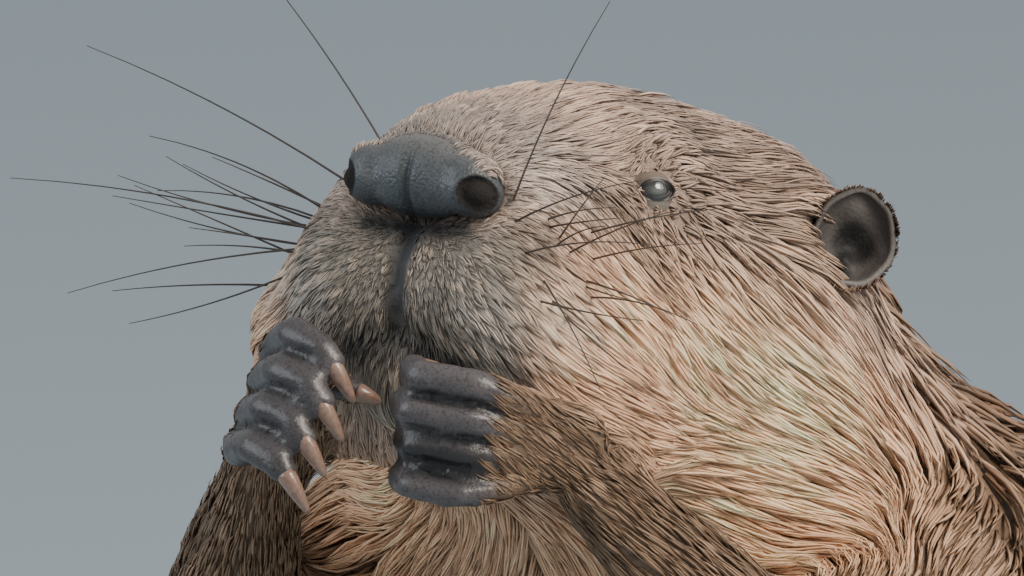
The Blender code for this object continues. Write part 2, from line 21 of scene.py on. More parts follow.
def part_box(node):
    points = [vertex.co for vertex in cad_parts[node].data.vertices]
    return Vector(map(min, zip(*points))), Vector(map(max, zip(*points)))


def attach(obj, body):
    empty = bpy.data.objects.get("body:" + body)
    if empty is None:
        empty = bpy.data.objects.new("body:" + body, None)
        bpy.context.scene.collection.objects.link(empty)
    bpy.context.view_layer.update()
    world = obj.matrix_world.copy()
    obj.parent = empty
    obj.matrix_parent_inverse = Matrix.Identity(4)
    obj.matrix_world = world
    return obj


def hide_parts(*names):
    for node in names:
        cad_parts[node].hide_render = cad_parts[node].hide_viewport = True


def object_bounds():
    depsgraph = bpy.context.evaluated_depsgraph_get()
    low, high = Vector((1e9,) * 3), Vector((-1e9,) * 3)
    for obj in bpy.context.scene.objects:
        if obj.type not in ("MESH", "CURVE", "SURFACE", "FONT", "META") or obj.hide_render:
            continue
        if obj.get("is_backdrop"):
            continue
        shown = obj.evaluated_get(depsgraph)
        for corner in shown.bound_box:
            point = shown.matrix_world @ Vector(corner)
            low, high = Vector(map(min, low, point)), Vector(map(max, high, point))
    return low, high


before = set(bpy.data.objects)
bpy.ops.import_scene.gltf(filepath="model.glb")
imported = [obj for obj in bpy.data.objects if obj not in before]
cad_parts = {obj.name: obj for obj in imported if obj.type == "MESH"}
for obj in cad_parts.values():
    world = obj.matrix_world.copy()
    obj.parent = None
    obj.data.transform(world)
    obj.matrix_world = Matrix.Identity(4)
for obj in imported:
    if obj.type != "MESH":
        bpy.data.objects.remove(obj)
CAD_BOX = [list(corner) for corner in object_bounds()]
print("solids' box:", CAD_BOX)

# %% [markdown]
# ## The head's own frame
#
# The muzzle is raised, so places on the head are easier to say in a tilted frame: how far to the animal's
# left, how far forward of the nose tip, and how far up, in millimetres. The two eyeballs of the solid model
# are known in both frames, so they tell where the nose tip is. The body's frame is level and starts between
# the hips.

# %% Head and body frames
MM = 0.001
HEAD_PITCH = math.radians(25)
EYE = (40.5, -54.5, 17)  # left, forward and up of the nose tip
EAR = (60.5, -127, 26)
EYE_RADIUS = 5.6
NOSE_IN_BODY = (188, 430)  # forward of the hips, and up
SIDES = {"left": 1, "right": -1}

LEFT = np.array([1.0, 0.0, 0.0])
FORWARD = np.array([0.0, -math.cos(HEAD_PITCH), math.sin(HEAD_PITCH)])
UPWARD = np.array([0.0, math.sin(HEAD_PITCH), math.cos(HEAD_PITCH)])
HEAD_AXES = np.array([LEFT, FORWARD, UPWARD])


def middle_of(node):
    low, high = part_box(node)
    return (np.array(low) + np.array(high)) / 2


between_eyes = (middle_of("eye_left") + middle_of("eye_right")) / 2
NOSE_TIP = between_eyes - (FORWARD * EYE[1] + UPWARD * EYE[2]) * MM
NOSE_TIP[0] = 0.0


def head_place(side, forward, up):
    """A point of the head's frame, in metres."""
    return NOSE_TIP + (LEFT * side + FORWARD * forward + UPWARD * up) * MM


def in_head(points):
    """Points in metres as left, forward and up of the nose tip, in millimetres."""
    return (points - NOSE_TIP) @ HEAD_AXES.T / MM


def body_place(side, forward, height):
    """A point of the level body frame, in metres."""
    y = NOSE_TIP[1] - (forward - NOSE_IN_BODY[0]) * MM
    return np.array([side * MM, y, height * MM])


print("nose tip:", NOSE_TIP.round(4))

# %% [markdown]
# ## Camera, floor and light
#
# A very long lens keeps the head's proportions, because near parts hardly grow. The camera looks from the
# animal's front left and a little above. The floor is one large pale plane under a pale sky, so no view
# shows an edge. Three large area lights do what an overcast day does: two warm ones high on the right, a
# cool one on the left.

# %% Camera, floor and light
VIEW_AZIMUTH = math.radians(32)
VIEW_ELEVATION = math.radians(12)
LENS = 0.8
VIEW_WIDTH = 0.266  # what the frame spans at the nose tip

towards_camera = np.array(
    [
        math.sin(VIEW_AZIMUTH) * math.cos(VIEW_ELEVATION),
        -math.cos(VIEW_AZIMUTH) * math.cos(VIEW_ELEVATION),
        math.sin(VIEW_ELEVATION),
    ]
)
view_right = np.array([math.cos(VIEW_AZIMUTH), math.sin(VIEW_AZIMUTH), 0.0])
view_up = np.cross(towards_camera, view_right)
view_up /= np.linalg.norm(view_up)
aim = NOSE_TIP + view_right * 0.0283 - view_up * 0.0268

camera = bpy.data.objects.new("camera", bpy.data.cameras.new("camera"))
camera.data.lens = LENS / MM
camera.data.sensor_width = 36
camera.data.clip_end = 50
camera.location = aim + towards_camera * VIEW_WIDTH / 0.036 * LENS
camera.rotation_mode = "QUATERNION"
camera.rotation_quaternion = Vector(towards_camera).to_track_quat("Z", "Y")
bpy.context.scene.collection.objects.link(camera)
bpy.context.scene.camera = camera


def area_light(name, place, size, watts, colour):
    light = bpy.data.lights.new(name, "AREA")
    light.shape, light.size = "DISK", size
    light.energy, light.color = watts, colour
    lamp = bpy.data.objects.new(name, light)
    lamp.location = place
    lamp.rotation_mode = "QUATERNION"
    lamp.rotation_quaternion = Vector(np.array(place) - NOSE_TIP).to_track_quat("Z", "Y")
    bpy.context.scene.collection.objects.link(lamp)
    return lamp


area_light("warm key", (1.5, -0.35, 1.7), 1.0, 40, (1.0, 0.89, 0.76))
area_light("bright cloud", (1.9, 0.25, 2.1), 2.2, 34, (1.0, 0.97, 0.94))
area_light("cool fill", (-1.6, -1.5, 1.2), 1.6, 20, (0.88, 0.94, 1.0))

world = bpy.data.worlds.new("pale sky")
world.use_nodes = True
world.node_tree.nodes["Background"].inputs["Color"].default_value = (0.80, 0.84, 0.87, 1)
world.node_tree.nodes["Background"].inputs["Strength"].default_value = 0.66
bpy.context.scene.world = world

floor_mesh = bpy.data.meshes.new("floor")
floor_mesh.from_pydata([(-9, -9, 0), (9, -9, 0), (9, 9, 0), (-9, 9, 0)], [], [(0, 1, 2, 3)])
floor = bpy.data.objects.new("floor", floor_mesh)
bpy.context.scene.collection.objects.link(floor)
floor_finish = bpy.data.materials.new("pale floor")
floor_finish.use_nodes = True
floor_finish.node_tree.nodes["Principled BSDF"].inputs["Base Color"].default_value = (0.33, 0.39, 0.43, 1)
floor_finish.node_tree.nodes["Principled BSDF"].inputs["Roughness"].default_value = 0.9
floor_mesh.materials.append(floor_finish)
floor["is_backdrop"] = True
print("camera at", np.round(camera.location, 3))

# %% [markdown]
# ## Form tools
#
# Bare parts such as fingers need a finer form than the solids have, so they are built again from the same
# few sizes. A tube through a few oval stations makes a finger, a toe or an arm, and an ellipsoid makes a
# swelling.


# %% Form tools
def new_object(name, mesh):
    made = bpy.data.objects.new(name, mesh)
    bpy.context.scene.collection.objects.link(made)
    return made


def mesh_from(bm, name="form"):
    bm.normal_update()
    bmesh.ops.recalc_face_normals(bm, faces=bm.faces)
    mesh = bpy.data.meshes.new(name)
    bm.to_mesh(mesh)
    bm.free()
    return mesh


def frame_between(start, end, across):
    """Right-handed axes whose Z runs from start to end and whose X is as near across as it can be."""
    along = (end - start).normalized()
    sideways = (across - across.dot(along) * along).normalized()
    return Matrix((sideways, along.cross(sideways), along)).transposed()


def blob(centre, radii, axes=None, detail=5):
    """An ellipsoid. axes is a 3x3 rotation whose columns are its own axes."""
    bm = bmesh.new()
    bmesh.ops.create_icosphere(bm, subdivisions=detail, radius=1.0)
    turn = (axes or Matrix.Identity(3)).to_4x4()
    bm.transform(Matrix.Translation(centre) @ turn @ Matrix.Diagonal((*radii, 1.0)))
    return mesh_from(bm)


def head_blob(side, forward, up, radii, detail=5):
    axes = Matrix(HEAD_AXES.tolist()).transposed()
    return blob(Vector(head_place(side, forward, up)), [r * MM for r in radii], axes, detail)


def ring(centre, sideways, upward, half_width, half_height, points):
    made = []
    for i in range(points):
        angle = 2 * math.pi * i / points
        made.append(
            centre + sideways * half_width * math.cos(angle) + upward * half_height * math.sin(angle)
        )
    return made


def loft(rings):
    """A closed skin through rings that all have the same number of points."""
    bm = bmesh.new()
    rows = [[bm.verts.new(p) for p in outline] for outline in rings]
    for near, far in zip(rows, rows[1:]):
        for i in range(len(near)):
            j = (i + 1) % len(near)
            bm.faces.new((near[i], near[j], far[j], far[i]))
    for row in (rows[0], rows[-1]):
        middle = bm.verts.new(sum((v.co for v in row), Vector()) / len(row))
        for i in range(len(row)):
            bm.faces.new((row[i], row[(i + 1) % len(row)], middle))
    return mesh_from(bm)


def catmull(points, steps):
    """Rows of numbers along a smooth curve through the given rows."""
    p = np.array([tuple(q) for q in points], float)
    p = np.vstack([2 * p[0] - p[1], p, 2 * p[-1] - p[-2]])
    made = []
    for i in range(1, len(p) - 2):
        for t in np.arange(steps) / steps:
            a, b, c, d = p[i - 1 : i + 3]
            made.append(
                0.5 * (2 * b + (c - a) * t + (2 * a - 5 * b + 4 * c - d) * t**2)
                + 0.5 * (3 * b - a - 3 * c + d) * t**3
            )
    made.append(p[-2])
    return np.array(made)


def limb(stations, across, steps=6, points=24):
    """A tube of oval section. Each station is (x, y, z, half width, half depth), and its ends are round."""
    rows = catmull(stations, steps)
    centres = [Vector(row[:3]) for row in rows]
    rings = []
    for i, row in enumerate(rows):
        before, after = centres[max(i - 1, 0)], centres[min(i + 1, len(rows) - 1)]
        axes = frame_between(before, after, across)
        rings.append(ring(centres[i], axes.col[0], axes.col[1], row[3], row[4], points))
    for end, inner, row in ((0, 1, rows[0]), (-1, -2, rows[-1])):
        outward = (centres[end] - centres[inner]).normalized()
        start, stop = (centres[end], centres[inner]) if end == 0 else (centres[inner], centres[end])
        axes = frame_between(start, stop, across)
        for angle in (20, 40, 60, 75, 85):
            lift = math.sin(math.radians(angle)) * min(row[3], row[4])
            narrow = math.cos(math.radians(angle))
            middle = centres[end] + outward * lift
            cap = ring(middle, axes.col[0], axes.col[1], row[3] * narrow, row[4] * narrow, points)
            rings = [cap, *rings] if end == 0 else [*rings, cap]
    return loft(rings)


def joined(meshes):
    """One mesh of many, each kept whole."""
    bm = bmesh.new()
    for mesh in meshes:
        bm.from_mesh(mesh)
    bmesh.ops.remove_doubles(bm, verts=bm.verts, dist=1e-5)
    mesh = bpy.data.meshes.new("joined")
    bm.to_mesh(mesh)
    bm.free()
    return mesh


def one_skin(mesh, voxel, adaptivity=0.0):
    """A closed skin round everything in mesh, made on a grid of voxels."""
    holder = new_object("holder", mesh)
    wrap = holder.modifiers.new("wrap", "REMESH")
    wrap.mode, wrap.voxel_size, wrap.adaptivity = "VOXEL", voxel, adaptivity
    graph = bpy.context.evaluated_depsgraph_get()
    made = bpy.data.meshes.new_from_object(holder.evaluated_get(graph))
    bpy.data.objects.remove(holder)
    return made


def points_of(mesh):
    flat = np.empty(len(mesh.vertices) * 3)
    mesh.vertices.foreach_get("co", flat)
    return flat.reshape(-1, 3)


def normals_of(mesh):
    flat = np.empty(len(mesh.vertices) * 3)
    mesh.vertex_normals.foreach_get("vector", flat)
    return flat.reshape(-1, 3)


def set_points(mesh, points):
    mesh.vertices.foreach_set("co", points.ravel())
    mesh.update()


def soften(mesh, rounds, weight=None):
    """Moves each point towards its neighbours' middle, as much as weight says, as often as rounds says."""
    ends = np.empty(len(mesh.edges) * 2, int)
    mesh.edges.foreach_get("vertices", ends)
    a, b = ends.reshape(-1, 2).T
    points = points_of(mesh)
    count = np.bincount(a, minlength=len(points)) + np.bincount(b, minlength=len(points))
    share = 0.5 if weight is None else 0.5 * weight[:, None]
    for _ in range(rounds):
        mean = np.empty_like(points)
        for axis in range(3):
            total = np.bincount(a, points[b, axis], len(points))
            total += np.bincount(b, points[a, axis], len(points))
            mean[:, axis] = total / np.maximum(count, 1)
        points = points + (mean - points) * share
    set_points(mesh, points)


def ramp(value, low, high):
    """0 below low, 1 above high, smooth between."""
    t = np.clip((value - low) / (high - low), 0, 1)
    return t * t * (3 - 2 * t)


def distance_to(points, place):
    return np.linalg.norm(points - np.array(place), axis=-1)


# %% [markdown]
# ## Hands, feet and tail
#
# A beaver holds its food in both hands. Each hand is a palm with four fingers that bend at the knuckles and
# a short thumb. The hind foot is twice as long, with a web between its toes. The tail's paddle is a flat
# oval with a low ridge. All are given by bones: how long, how thick, and how far each has turned.

# %% Hand
# For each hand: its knuckles, how much the palm points up, how far each bone has turned, the palm's roll,
# the pitch of the fingers, and how far each bone sags.
HANDS = (
    ("left", (37, 221, 373), 0.16, (46, 104, 128), 0, 9.4, (0, 0, 0)),
    ("right", (-23, 220, 378), 0.40, (15, 55, 85), -20, 10.4, (0, 0.25, 0.6)),
)
FINGER_BONES = (15.0, 11.0, 5.0)
FORECLAW_LENGTH = 12.5
HINDCLAW_LENGTH = 17.0


def claw(root, along, down, length, half_width):
    """A horn claw that bends down towards its blunt tip, with a flat underside."""
    rings = []
    across = along.cross(down).normalized()
    for i in range(13):
        t = i / 12
        bend = 0.85 * t
        middle = root + (along * math.sin(bend) + down * (1 - math.cos(bend))) * length / 0.85
        narrow = (1 - 0.72 * t**1.5) * math.sqrt(max(0.04, 1 - max(0, t - 0.8) ** 2 / 0.042))
        upward = (down * -math.cos(bend) + along * math.sin(bend)).normalized()
        outline = []
        for k in range(16):
            angle = 2 * math.pi * k / 16
            rise = math.sin(angle)
            rise = rise * 1.15 if rise > 0 else rise * 0.7
            outline.append(
                middle + (across * math.cos(angle) + upward * rise) * half_width * narrow
            )
        rings.append(outline)
    return loft(rings)


def forepaw(side, knuckles, lift, curl, roll, pitch, sag):
    """(forms of the hand, its claws, the wrist, the palm's direction, the back's direction)"""
    sign = SIDES[side]
    palm = Vector((sign * -0.45, -0.80, lift)).normalized()
    dorsal = Quaternion(palm, math.radians(roll)) @ Vector((sign * 0.87, -0.49, 0)).normalized()
    stack = palm.cross(dorsal).normalized()
    stack *= math.copysign(1.0, stack.z)
    heart = Vector(body_place(*knuckles))
    wrist = heart - palm * 30 * MM
    open_hand = pitch / 9.6
    rows = []
    palm_ovals = ((-0.2, 11.5, 8), (0.35, 14, 7.5), (0.75, 15 * open_hand, 5.5), (1.0, 13.5 * open_hand, 3.5))
    for t, width, depth in palm_ovals:
        rows.append((*(wrist + palm * 30 * MM * t - dorsal * (1.2 + 2 * t) * MM), width * MM, depth * MM))
    forms, claws = [limb(rows, stack)], []
    for i in range(5):
        if i < 4:
            place = heart + stack * (1.5 - i) * pitch * MM - palm * 3 * MM
            thick, turns, sags, size = pitch * 0.49, curl, sag, 1.0 - 0.06 * abs(i - 1)
            back = wrist + stack * (1.5 - i) * pitch * 0.66 * MM + (palm * 9 + dorsal * 1.6) * MM
            middle = place.lerp(back, 0.5) + dorsal * 1.4 * MM
            ray = [(*back, 3.6 * MM, 3.6 * MM), (*middle, thick * 0.9 * MM, thick * 0.9 * MM)]
            forms.append(limb([*ray, (*place, thick * MM, thick * MM)], stack, steps=4, points=20))
            bones = FINGER_BONES
        else:
            place = heart + (stack * 10 - palm * 16 - dorsal * 5) * MM
            thick, turns, sags, size, bones = 4.2, (55, 70, 80), (0, 0, 0), 1.0, (9.0, 7.0, 3.0)
        path = [(*place, thick * MM, thick * MM)]
        for bone, turn, down, slim in zip(bones, turns, sags, (1.0, 0.94, 0.86)):
            angle = math.radians(turn)
            direction = (palm * math.cos(angle) - dorsal * math.sin(angle) - stack * down).normalized()
            middle = place + direction * bone * 0.5 * size * MM
            path.append((*middle, thick * slim * 0.95 * MM, thick * slim * 0.95 * MM))
            place = place + direction * bone * size * MM
            path.append((*place, thick * slim * size * MM, thick * slim * size * MM))
        forms.append(limb(path, stack, steps=4, points=20))
        angle = math.radians(turns[-1] + 6)
        onward = (palm * math.cos(angle) - dorsal * math.sin(angle) - stack * sags[-1] * 1.3).normalized()
        inward = palm * -math.sin(angle) - dorsal * math.cos(angle)
        length = FORECLAW_LENGTH * (0.55 if i == 4 else 1.0)
        root = place + onward * 0.5 * MM - inward * 0.6 * MM
        claws.append(claw(root, onward, inward, length * MM, 2.6 * MM))
    return forms, claws, wrist, palm, dorsal


# %% Foot and tail
HIND_FOOT_SPLAY = math.radians(14)
TOE_LENGTHS = (38, 52, 60, 58, 46)
TAIL_ROOT, TAIL_LENGTH = -200, 262  # forward of the hips, and how long
TAIL_STATIONS = (  # share of the length, half width, height of the middle ridge
    (0.0, 35, 33), (0.08, 41, 27), (0.22, 52, 22), (0.42, 61, 19), (0.62, 63, 16),
    (0.8, 57, 13), (0.92, 42, 10), (0.985, 20, 7.5),
)


def hind_foot(side):
    """(forms of the foot, its claws)"""
    sign = SIDES[side]
    ahead = Vector((sign * math.sin(HIND_FOOT_SPLAY), -math.cos(HIND_FOOT_SPLAY), 0))
    outward = Vector((sign * -ahead.y, sign * ahead.x, 0))
    heel = Vector(body_place(sign * 100, -46, 0))

    def foot_place(along, across, height):
        return heel + (ahead * along + outward * across) * MM + Vector((0, 0, height * MM))

    instep = []
    sole_ovals = ((4, 17, 16, 16), (30, 16, 19, 15), (58, 12, 25, 11.5), (80, 9, 30, 8.5))
    for along, height, width, depth in sole_ovals:
        instep.append((*foot_place(along, 0, height), width * MM, depth * MM))
    forms, claws, roots, tips = [limb(instep, outward)], [], [], []
    for i, length in enumerate(TOE_LENGTHS):
        fan = math.radians((i - 2) * 11)
        root = foot_place(72, (i - 2) * 11.5, 8)
        direction = ahead * math.cos(fan) + outward * math.sin(fan)
        knuckle = root + direction * length * 0.5 * MM + Vector((0, 0, 2.5 * MM))
        tip = root + direction * length * MM - Vector((0, 0, 1.3 * MM))
        path = [(*root, 7.6 * MM, 7.4 * MM), (*knuckle, 7.0 * MM, 7 * MM), (*tip, 6.4 * MM, 6 * MM)]
        forms.append(limb(path, outward, points=20))
        roots.append(foot_place(66, (i - 2) * 12, 0))
        tips.append(root + direction * length * 0.92 * MM)
        claws.append(
            claw(
                tip + direction * 1.5 * MM + Vector((0, 0, 1.8 * MM)),
                (direction + Vector((0, 0, 0.12))).normalized(),
                Vector((0, 0, -1)),
                HINDCLAW_LENGTH * (0.8 if i < 2 else 1.0) * MM,
                3.3 * MM,
            )
        )
    forms.append(webbing(roots, tips))
    return forms, claws


def webbing(roots, tips):
    """A thin skin between the toes, scalloped at its free edge."""
    edge = []
    for i, tip in enumerate(tips):
        edge.append(tip)
        if i + 1 < len(tips):
            hollow = tip.lerp(tips[i + 1], 0.5) * 0.8 + roots[i].lerp(roots[i + 1], 0.5) * 0.2
            edge.append(hollow)
    outline = roots[::-1] + edge
    bm = bmesh.new()
    rows = [[bm.verts.new((p.x, p.y, z * MM)) for p in outline] for z in (1.6, 5.2)]
    bm.faces.new(rows[0])
    bm.faces.new(rows[1])
    for i in range(len(outline)):
        j = (i + 1) % len(outline)
        bm.faces.new((rows[0][i], rows[0][j], rows[1][j], rows[1][i]))
    bmesh.ops.triangulate(bm, faces=bm.faces)
    return mesh_from(bm)


def paddle():
    rings = []
    for share, half_width, high in catmull(TAIL_STATIONS, 5):
        centre = Vector(body_place(0, TAIL_ROOT - share * TAIL_LENGTH, 3.3))
        outline = []
        for i in range(48):
            angle = 2 * math.pi * i / 48
            c, rise = math.cos(angle), math.sin(angle)
            across = math.copysign(abs(c) ** 0.75, c)
            up = 2.6 * math.copysign(abs(rise) ** 0.75, rise)
            if rise > 0:
                up += (high - 6.8) * (1 - across**2) ** 1.2
            outline.append(centre + Vector((across * (half_width - 0.7) * MM, 0, up * MM)))
        rings.append(outline)
    return loft(rings)


hand_forms, foreclaws, wrists, palms = [], [], {}, {}
for side, knuckles, *pose in HANDS:
    forms, claws, wrist, palm, dorsal = forepaw(side, knuckles, *pose)
    palms[side] = (np.array(body_place(*knuckles)), np.array(palm), np.array(dorsal))
    hand_forms += forms
    foreclaws += claws
    wrists[side] = np.array(wrist)
foot_forms, hindclaws = [], []
for side in SIDES:
    forms, claws = hind_foot(side)
    foot_forms += forms
    hindclaws += claws
print(len(hand_forms), "hand forms,", len(foot_forms), "foot forms,", len(foreclaws + hindclaws), "claws")

# %% [markdown]
# ## One skin
#
# The body's solids are wrapped in one coarse skin, and its creases are softened, so thighs and shoulders
# swell out of the trunk. The skin is then drawn in by the coat's depth, which is least near the nose, hands
# and feet. After that the fine hands, feet and tail are wrapped together with it on a fine grid. Modelling
# the joints by hand would give tidier loops, but nothing here bends, so a voxel skin is quicker and has no
# seam.

# %% Coat depth
WRISTS = [palms[side][0] - palms[side][1] * 12 * MM for side in SIDES]  # fur ends on the back of the hand
ANKLES = [body_place(sign * 102, -30, 30) for sign in SIDES.values()]
TAIL_START = body_place(0, -212, 12)
EYES = [head_place(sign * EYE[0], EYE[1], EYE[2]) for sign in SIDES.values()]
EARS = [head_place(sign * EAR[0], EAR[1], EAR[2]) for sign in SIDES.values()]


def to_line(points, start, end):
    """Distance from each point to the line between two places."""
    along = end - start
    t = np.clip((points - start) @ along / (along @ along), 0, 1)
    return np.linalg.norm(points - start - t[:, None] * along, axis=1)


ARM_LINES = []
for side, sign in SIDES.items():
    shoulder, elbow = body_place(sign * 72, 52, 300), body_place(sign * 92, 132, 286)
    ARM_LINES += [(shoulder, elbow, 34 * MM), (elbow, palms[side][0], 28 * MM)]


def on_arms(points, fade=1.0):
    """1 on the arms and the backs of the hands, 0 elsewhere."""
    share = np.zeros(len(points))
    for start, end, reach in ARM_LINES:
        share = np.maximum(share, 1 - ramp(to_line(points, start, end) / reach, 0.75, fade))
    return share


def from_muzzle(points):
    """How far it is to the muzzle's middle, in millimetres."""
    return distance_to(points, head_place(0, -6, -6)) / MM


def coat_depth(points):
    """How thick the coat is over the skin there, in metres."""
    depth = 11.0 - 5.5 * on_arms(points, 1.3)
    depth = np.minimum(depth, np.maximum(0.7, (from_muzzle(points) - 8) * 0.047))
    for place, least, slope in (
        *((p, 0.8, 0.075) for p in WRISTS),
        *((p, 0.8, 0.08) for p in ANKLES),
        (TAIL_START, 0.6, 0.09),
        *((p, 0.9, 0.10) for p in EYES),
        *((p, 1.2, 0.10) for p in EARS),
    ):
        depth = np.minimum(depth, least + slope * distance_to(points, place) / MM)
    return depth * MM


print("coat depth on the back:", coat_depth(body_place(0, -60, 250)[None]).round(4), "m")

# %% Body skin
BODY_NODES = ["head", "neck", "trunk", "tail_root"]
BODY_NODES += [f"{part}_{side}" for part in ("upper_arm", "forearm", "thigh", "shank") for side in SIDES]

body = joined([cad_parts[name].data for name in BODY_NODES])
ear_fill = [head_blob(sign * 46, -135, 17, (8, 9, 9), 3) for sign in SIDES.values()]
bridge = [head_blob(0, -25, 7.5, (18, 12, 11.5)), head_blob(0, -30, 14, (20, 18, 14))]
eye_fill = [head_blob(sign * 38.5, EYE[1], EYE[2] - 1, (6, 6.5, 6), 3) for sign in SIDES.values()]
set_points(body, points_of(body) + normals_of(body) * 0.4 * MM)
body = one_skin(joined([body, *ear_fill, *eye_fill]), 4 * MM)
depth = coat_depth(points_of(body))
soften(body, 14, np.clip(depth / (5 * MM), 0.12, 1))
set_points(body, points_of(body) - normals_of(body) * coat_depth(points_of(body))[:, None])
soften(body, 2, np.clip(depth / (5 * MM), 0.1, 1))
skin_mesh = one_skin(joined([body, paddle(), *bridge, *hand_forms, *foot_forms]), 1.3 * MM, 0.1)
soften(skin_mesh, 3)
print("fine skin:", len(skin_mesh.polygons), "faces")

# %% [markdown]
# ## The face's folds
#
# Under the nose the upper lip is split by a bare groove, and the mouth runs back from its foot. The skin is
# pressed in along these two lines. Their dark comes partly from this depth and the lips' own dark skin, and
# partly from painted shade.


# %% Press in the lip groove and the mouth
def along_line(points, stations):
    """Distance in millimetres from head places to a line through the stations."""
    best = np.full(len(points), 1e3)
    for a, b in zip(stations[:-1], stations[1:]):
        a, b = np.array(a, float), np.array(b, float)
        t = np.clip((points - a) @ (b - a) / ((b - a) @ (b - a)), 0, 1)
        best = np.minimum(best, np.linalg.norm(points - a - t[:, None] * (b - a), axis=1))
    return best


LIP_GROOVE = [(-1.2, -12, -8), (-1.2, -9.4, -15), (-1, -9.2, -25), (0, -12, -35)]
MOUTH = [(0, -13, -37), (14, -16, -38), (28, -30, -42), (38, -50, -46)]


def folded(points):
    """(nearness to the lip groove, nearness to the mouth line), both 0 to 1, for points in metres."""
    local = in_head(points)
    groove = np.exp(-((along_line(local, LIP_GROOVE) / 2.4) ** 2))
    local[:, 0] = np.abs(local[:, 0])
    mouth = np.exp(-((along_line(local, MOUTH) / 3.2) ** 2))
    return groove, mouth


def finer(mesh, centre, reach, longest):
    """Splits the long edges near a place, so that a narrow groove there has points to press."""
    bm = bmesh.new()
    bm.from_mesh(mesh)
    for _ in range(3):
        near = [e for e in bm.edges if (e.verts[0].co - centre).length < reach and e.calc_length() > longest]
        bmesh.ops.subdivide_edges(bm, edges=near, cuts=1)
    bmesh.ops.triangulate(bm, faces=[f for f in bm.faces if (f.verts[0].co - centre).length < reach * 1.4])
    bm.to_mesh(mesh)
    bm.free()


finer(skin_mesh, Vector(head_place(0, -10, -18)), 26 * MM, 1.3 * MM)
points, normals = points_of(skin_mesh), normals_of(skin_mesh)
groove, mouth = folded(points)
set_points(skin_mesh, points - normals * (groove * 1.5 + mouth * 2.6)[:, None] * MM)


# %% [markdown]
# ## The hand's creases
#
# Fingers held close together leave creases on the back of the hand, dark because no light gets in. The voxel
# skin closes them, so they are pressed in again by a rule that repeats at the fingers' pitch. Boolean cuts
# would be sharper, but creases in living skin are round.


# %% Press in the creases between the fingers
def creases(points):
    """1 in the creases between the fingers on the back of each hand, 0 elsewhere."""
    deep = np.zeros(len(points))
    for side, _, _, _, _, pitch, _ in HANDS:
        heart, palm, dorsal = palms[side]
        away = (points - heart) / MM
        onward, across, above = away @ palm, away @ np.cross(palm, dorsal), away @ dorsal
        fan = 1 - 0.34 * np.clip((-3 - onward) / 18, 0, 1)
        across = across * math.copysign(1.0, np.cross(palm, dorsal)[2])
        widths = (0.27 if side == "left" else 0.15, 0.14, 0.13)
        between = sum(np.exp(-(((across / (pitch * fan) - k) / w) ** 2)) for k, w in zip((-1, 0, 1), widths))
        here = ramp(onward, -18, -9) * ramp(above, -13, -9) * (np.linalg.norm(away, axis=1) < 32)
        deep = np.maximum(deep, between * here * (1.0 if side == "left" else 0.6))
    return deep


def deep_fold(points):
    """How deep in shade the left hand's third finger lies, tucked in under the two above it."""
    heart, palm, dorsal = palms["left"]
    away = (points - heart) / MM
    stack = np.cross(palm, dorsal) * math.copysign(1.0, np.cross(palm, dorsal)[2])
    tucked = np.exp(-((((away @ stack) / 9.4 + 0.62) / 0.46) ** 4))
    return tucked * ramp(away @ palm, -16, -4) * (np.linalg.norm(away, axis=1) < 34) * 0.8


points, normals = points_of(skin_mesh), normals_of(skin_mesh)
set_points(skin_mesh, points - normals * creases(points)[:, None] * 1.8 * MM)
set_points(skin_mesh, points_of(skin_mesh) - normals * deep_fold(points)[:, None] * 1.6 * MM)
print("points in creases:", int((creases(points) > 0.5).sum()))

# %% [markdown]
# ## Markings
#
# One rule gives the coat's colour at any place, and both skin and coat ask it. The muzzle is greyest, the
# crown pinkish beige, the lower cheek warm, and the back a deeper brown. Skin shows only in the gaps between
# locks, so it gets the same colour made darker, which is what wet fur looks like where the light doesn't
# reach.


# %% Markings
def shade(code):
    """Linear red, green and blue of a screen colour written in hex."""
    value = np.array([int(code[i : i + 2], 16) / 255 for i in (0, 2, 4)])
    return np.where(value <= 0.04045, value / 12.92, ((value + 0.055) / 1.055) ** 2.4)


CROWN, MUZZLE, BRIDGE = shade("bda392"), shade("8e857a"), shade("958b84")
CHEEK, JAW, BEHIND_EYE = shade("f2c5a2"), shade("e8bb94"), shade("776152")
BACK, BELLY, LIMB = shade("765740"), shade("8f725a"), shade("755e49")
# Smaller patches of the face: side, forward and up of the middle, reach in millimetres, colour, strength.
PATCHES = (
    ((46, -98, 30), 24, shade("7b6553"), 0.7), ((23, -74, 42), 20, shade("7c6d63"), 0.7),
    ((40, -38, 11), 9, shade("68543f"), 0.65), ((26, -15, 9), 10, shade("dccbbd"), 0.7),
    ((41, -18, -22), 10, shade("ecd4c0"), 0.85), ((32, -14, -7), 7, shade("75695e"), 0.6),
    ((60, -26, -50), 18, shade("6d5237"), 0.75), ((27, -10, -31), 9, shade("bab3ab"), 0.7),
    ((5, -22, 26), 12, shade("857a74"), 0.6), ((50, -50, 1), 11, shade("75614f"), 0.6),
    ((60, -90, -16), 30, shade("ffdcb8"), 0.7),
)
EYE_FOLD_SHADE, LIP_SKIN_AND_SHADE, EAR_DARK = shade("4d3f36"), shade("1d1f24"), shade("4a4039")
PAD_EDGE = shade("6b6764")
print("crown, cheek and back in linear colour:", CROWN.round(2), CHEEK.round(2), BACK.round(2))


def blend(base, other, share):
    return base + (other - base) * share[:, None]


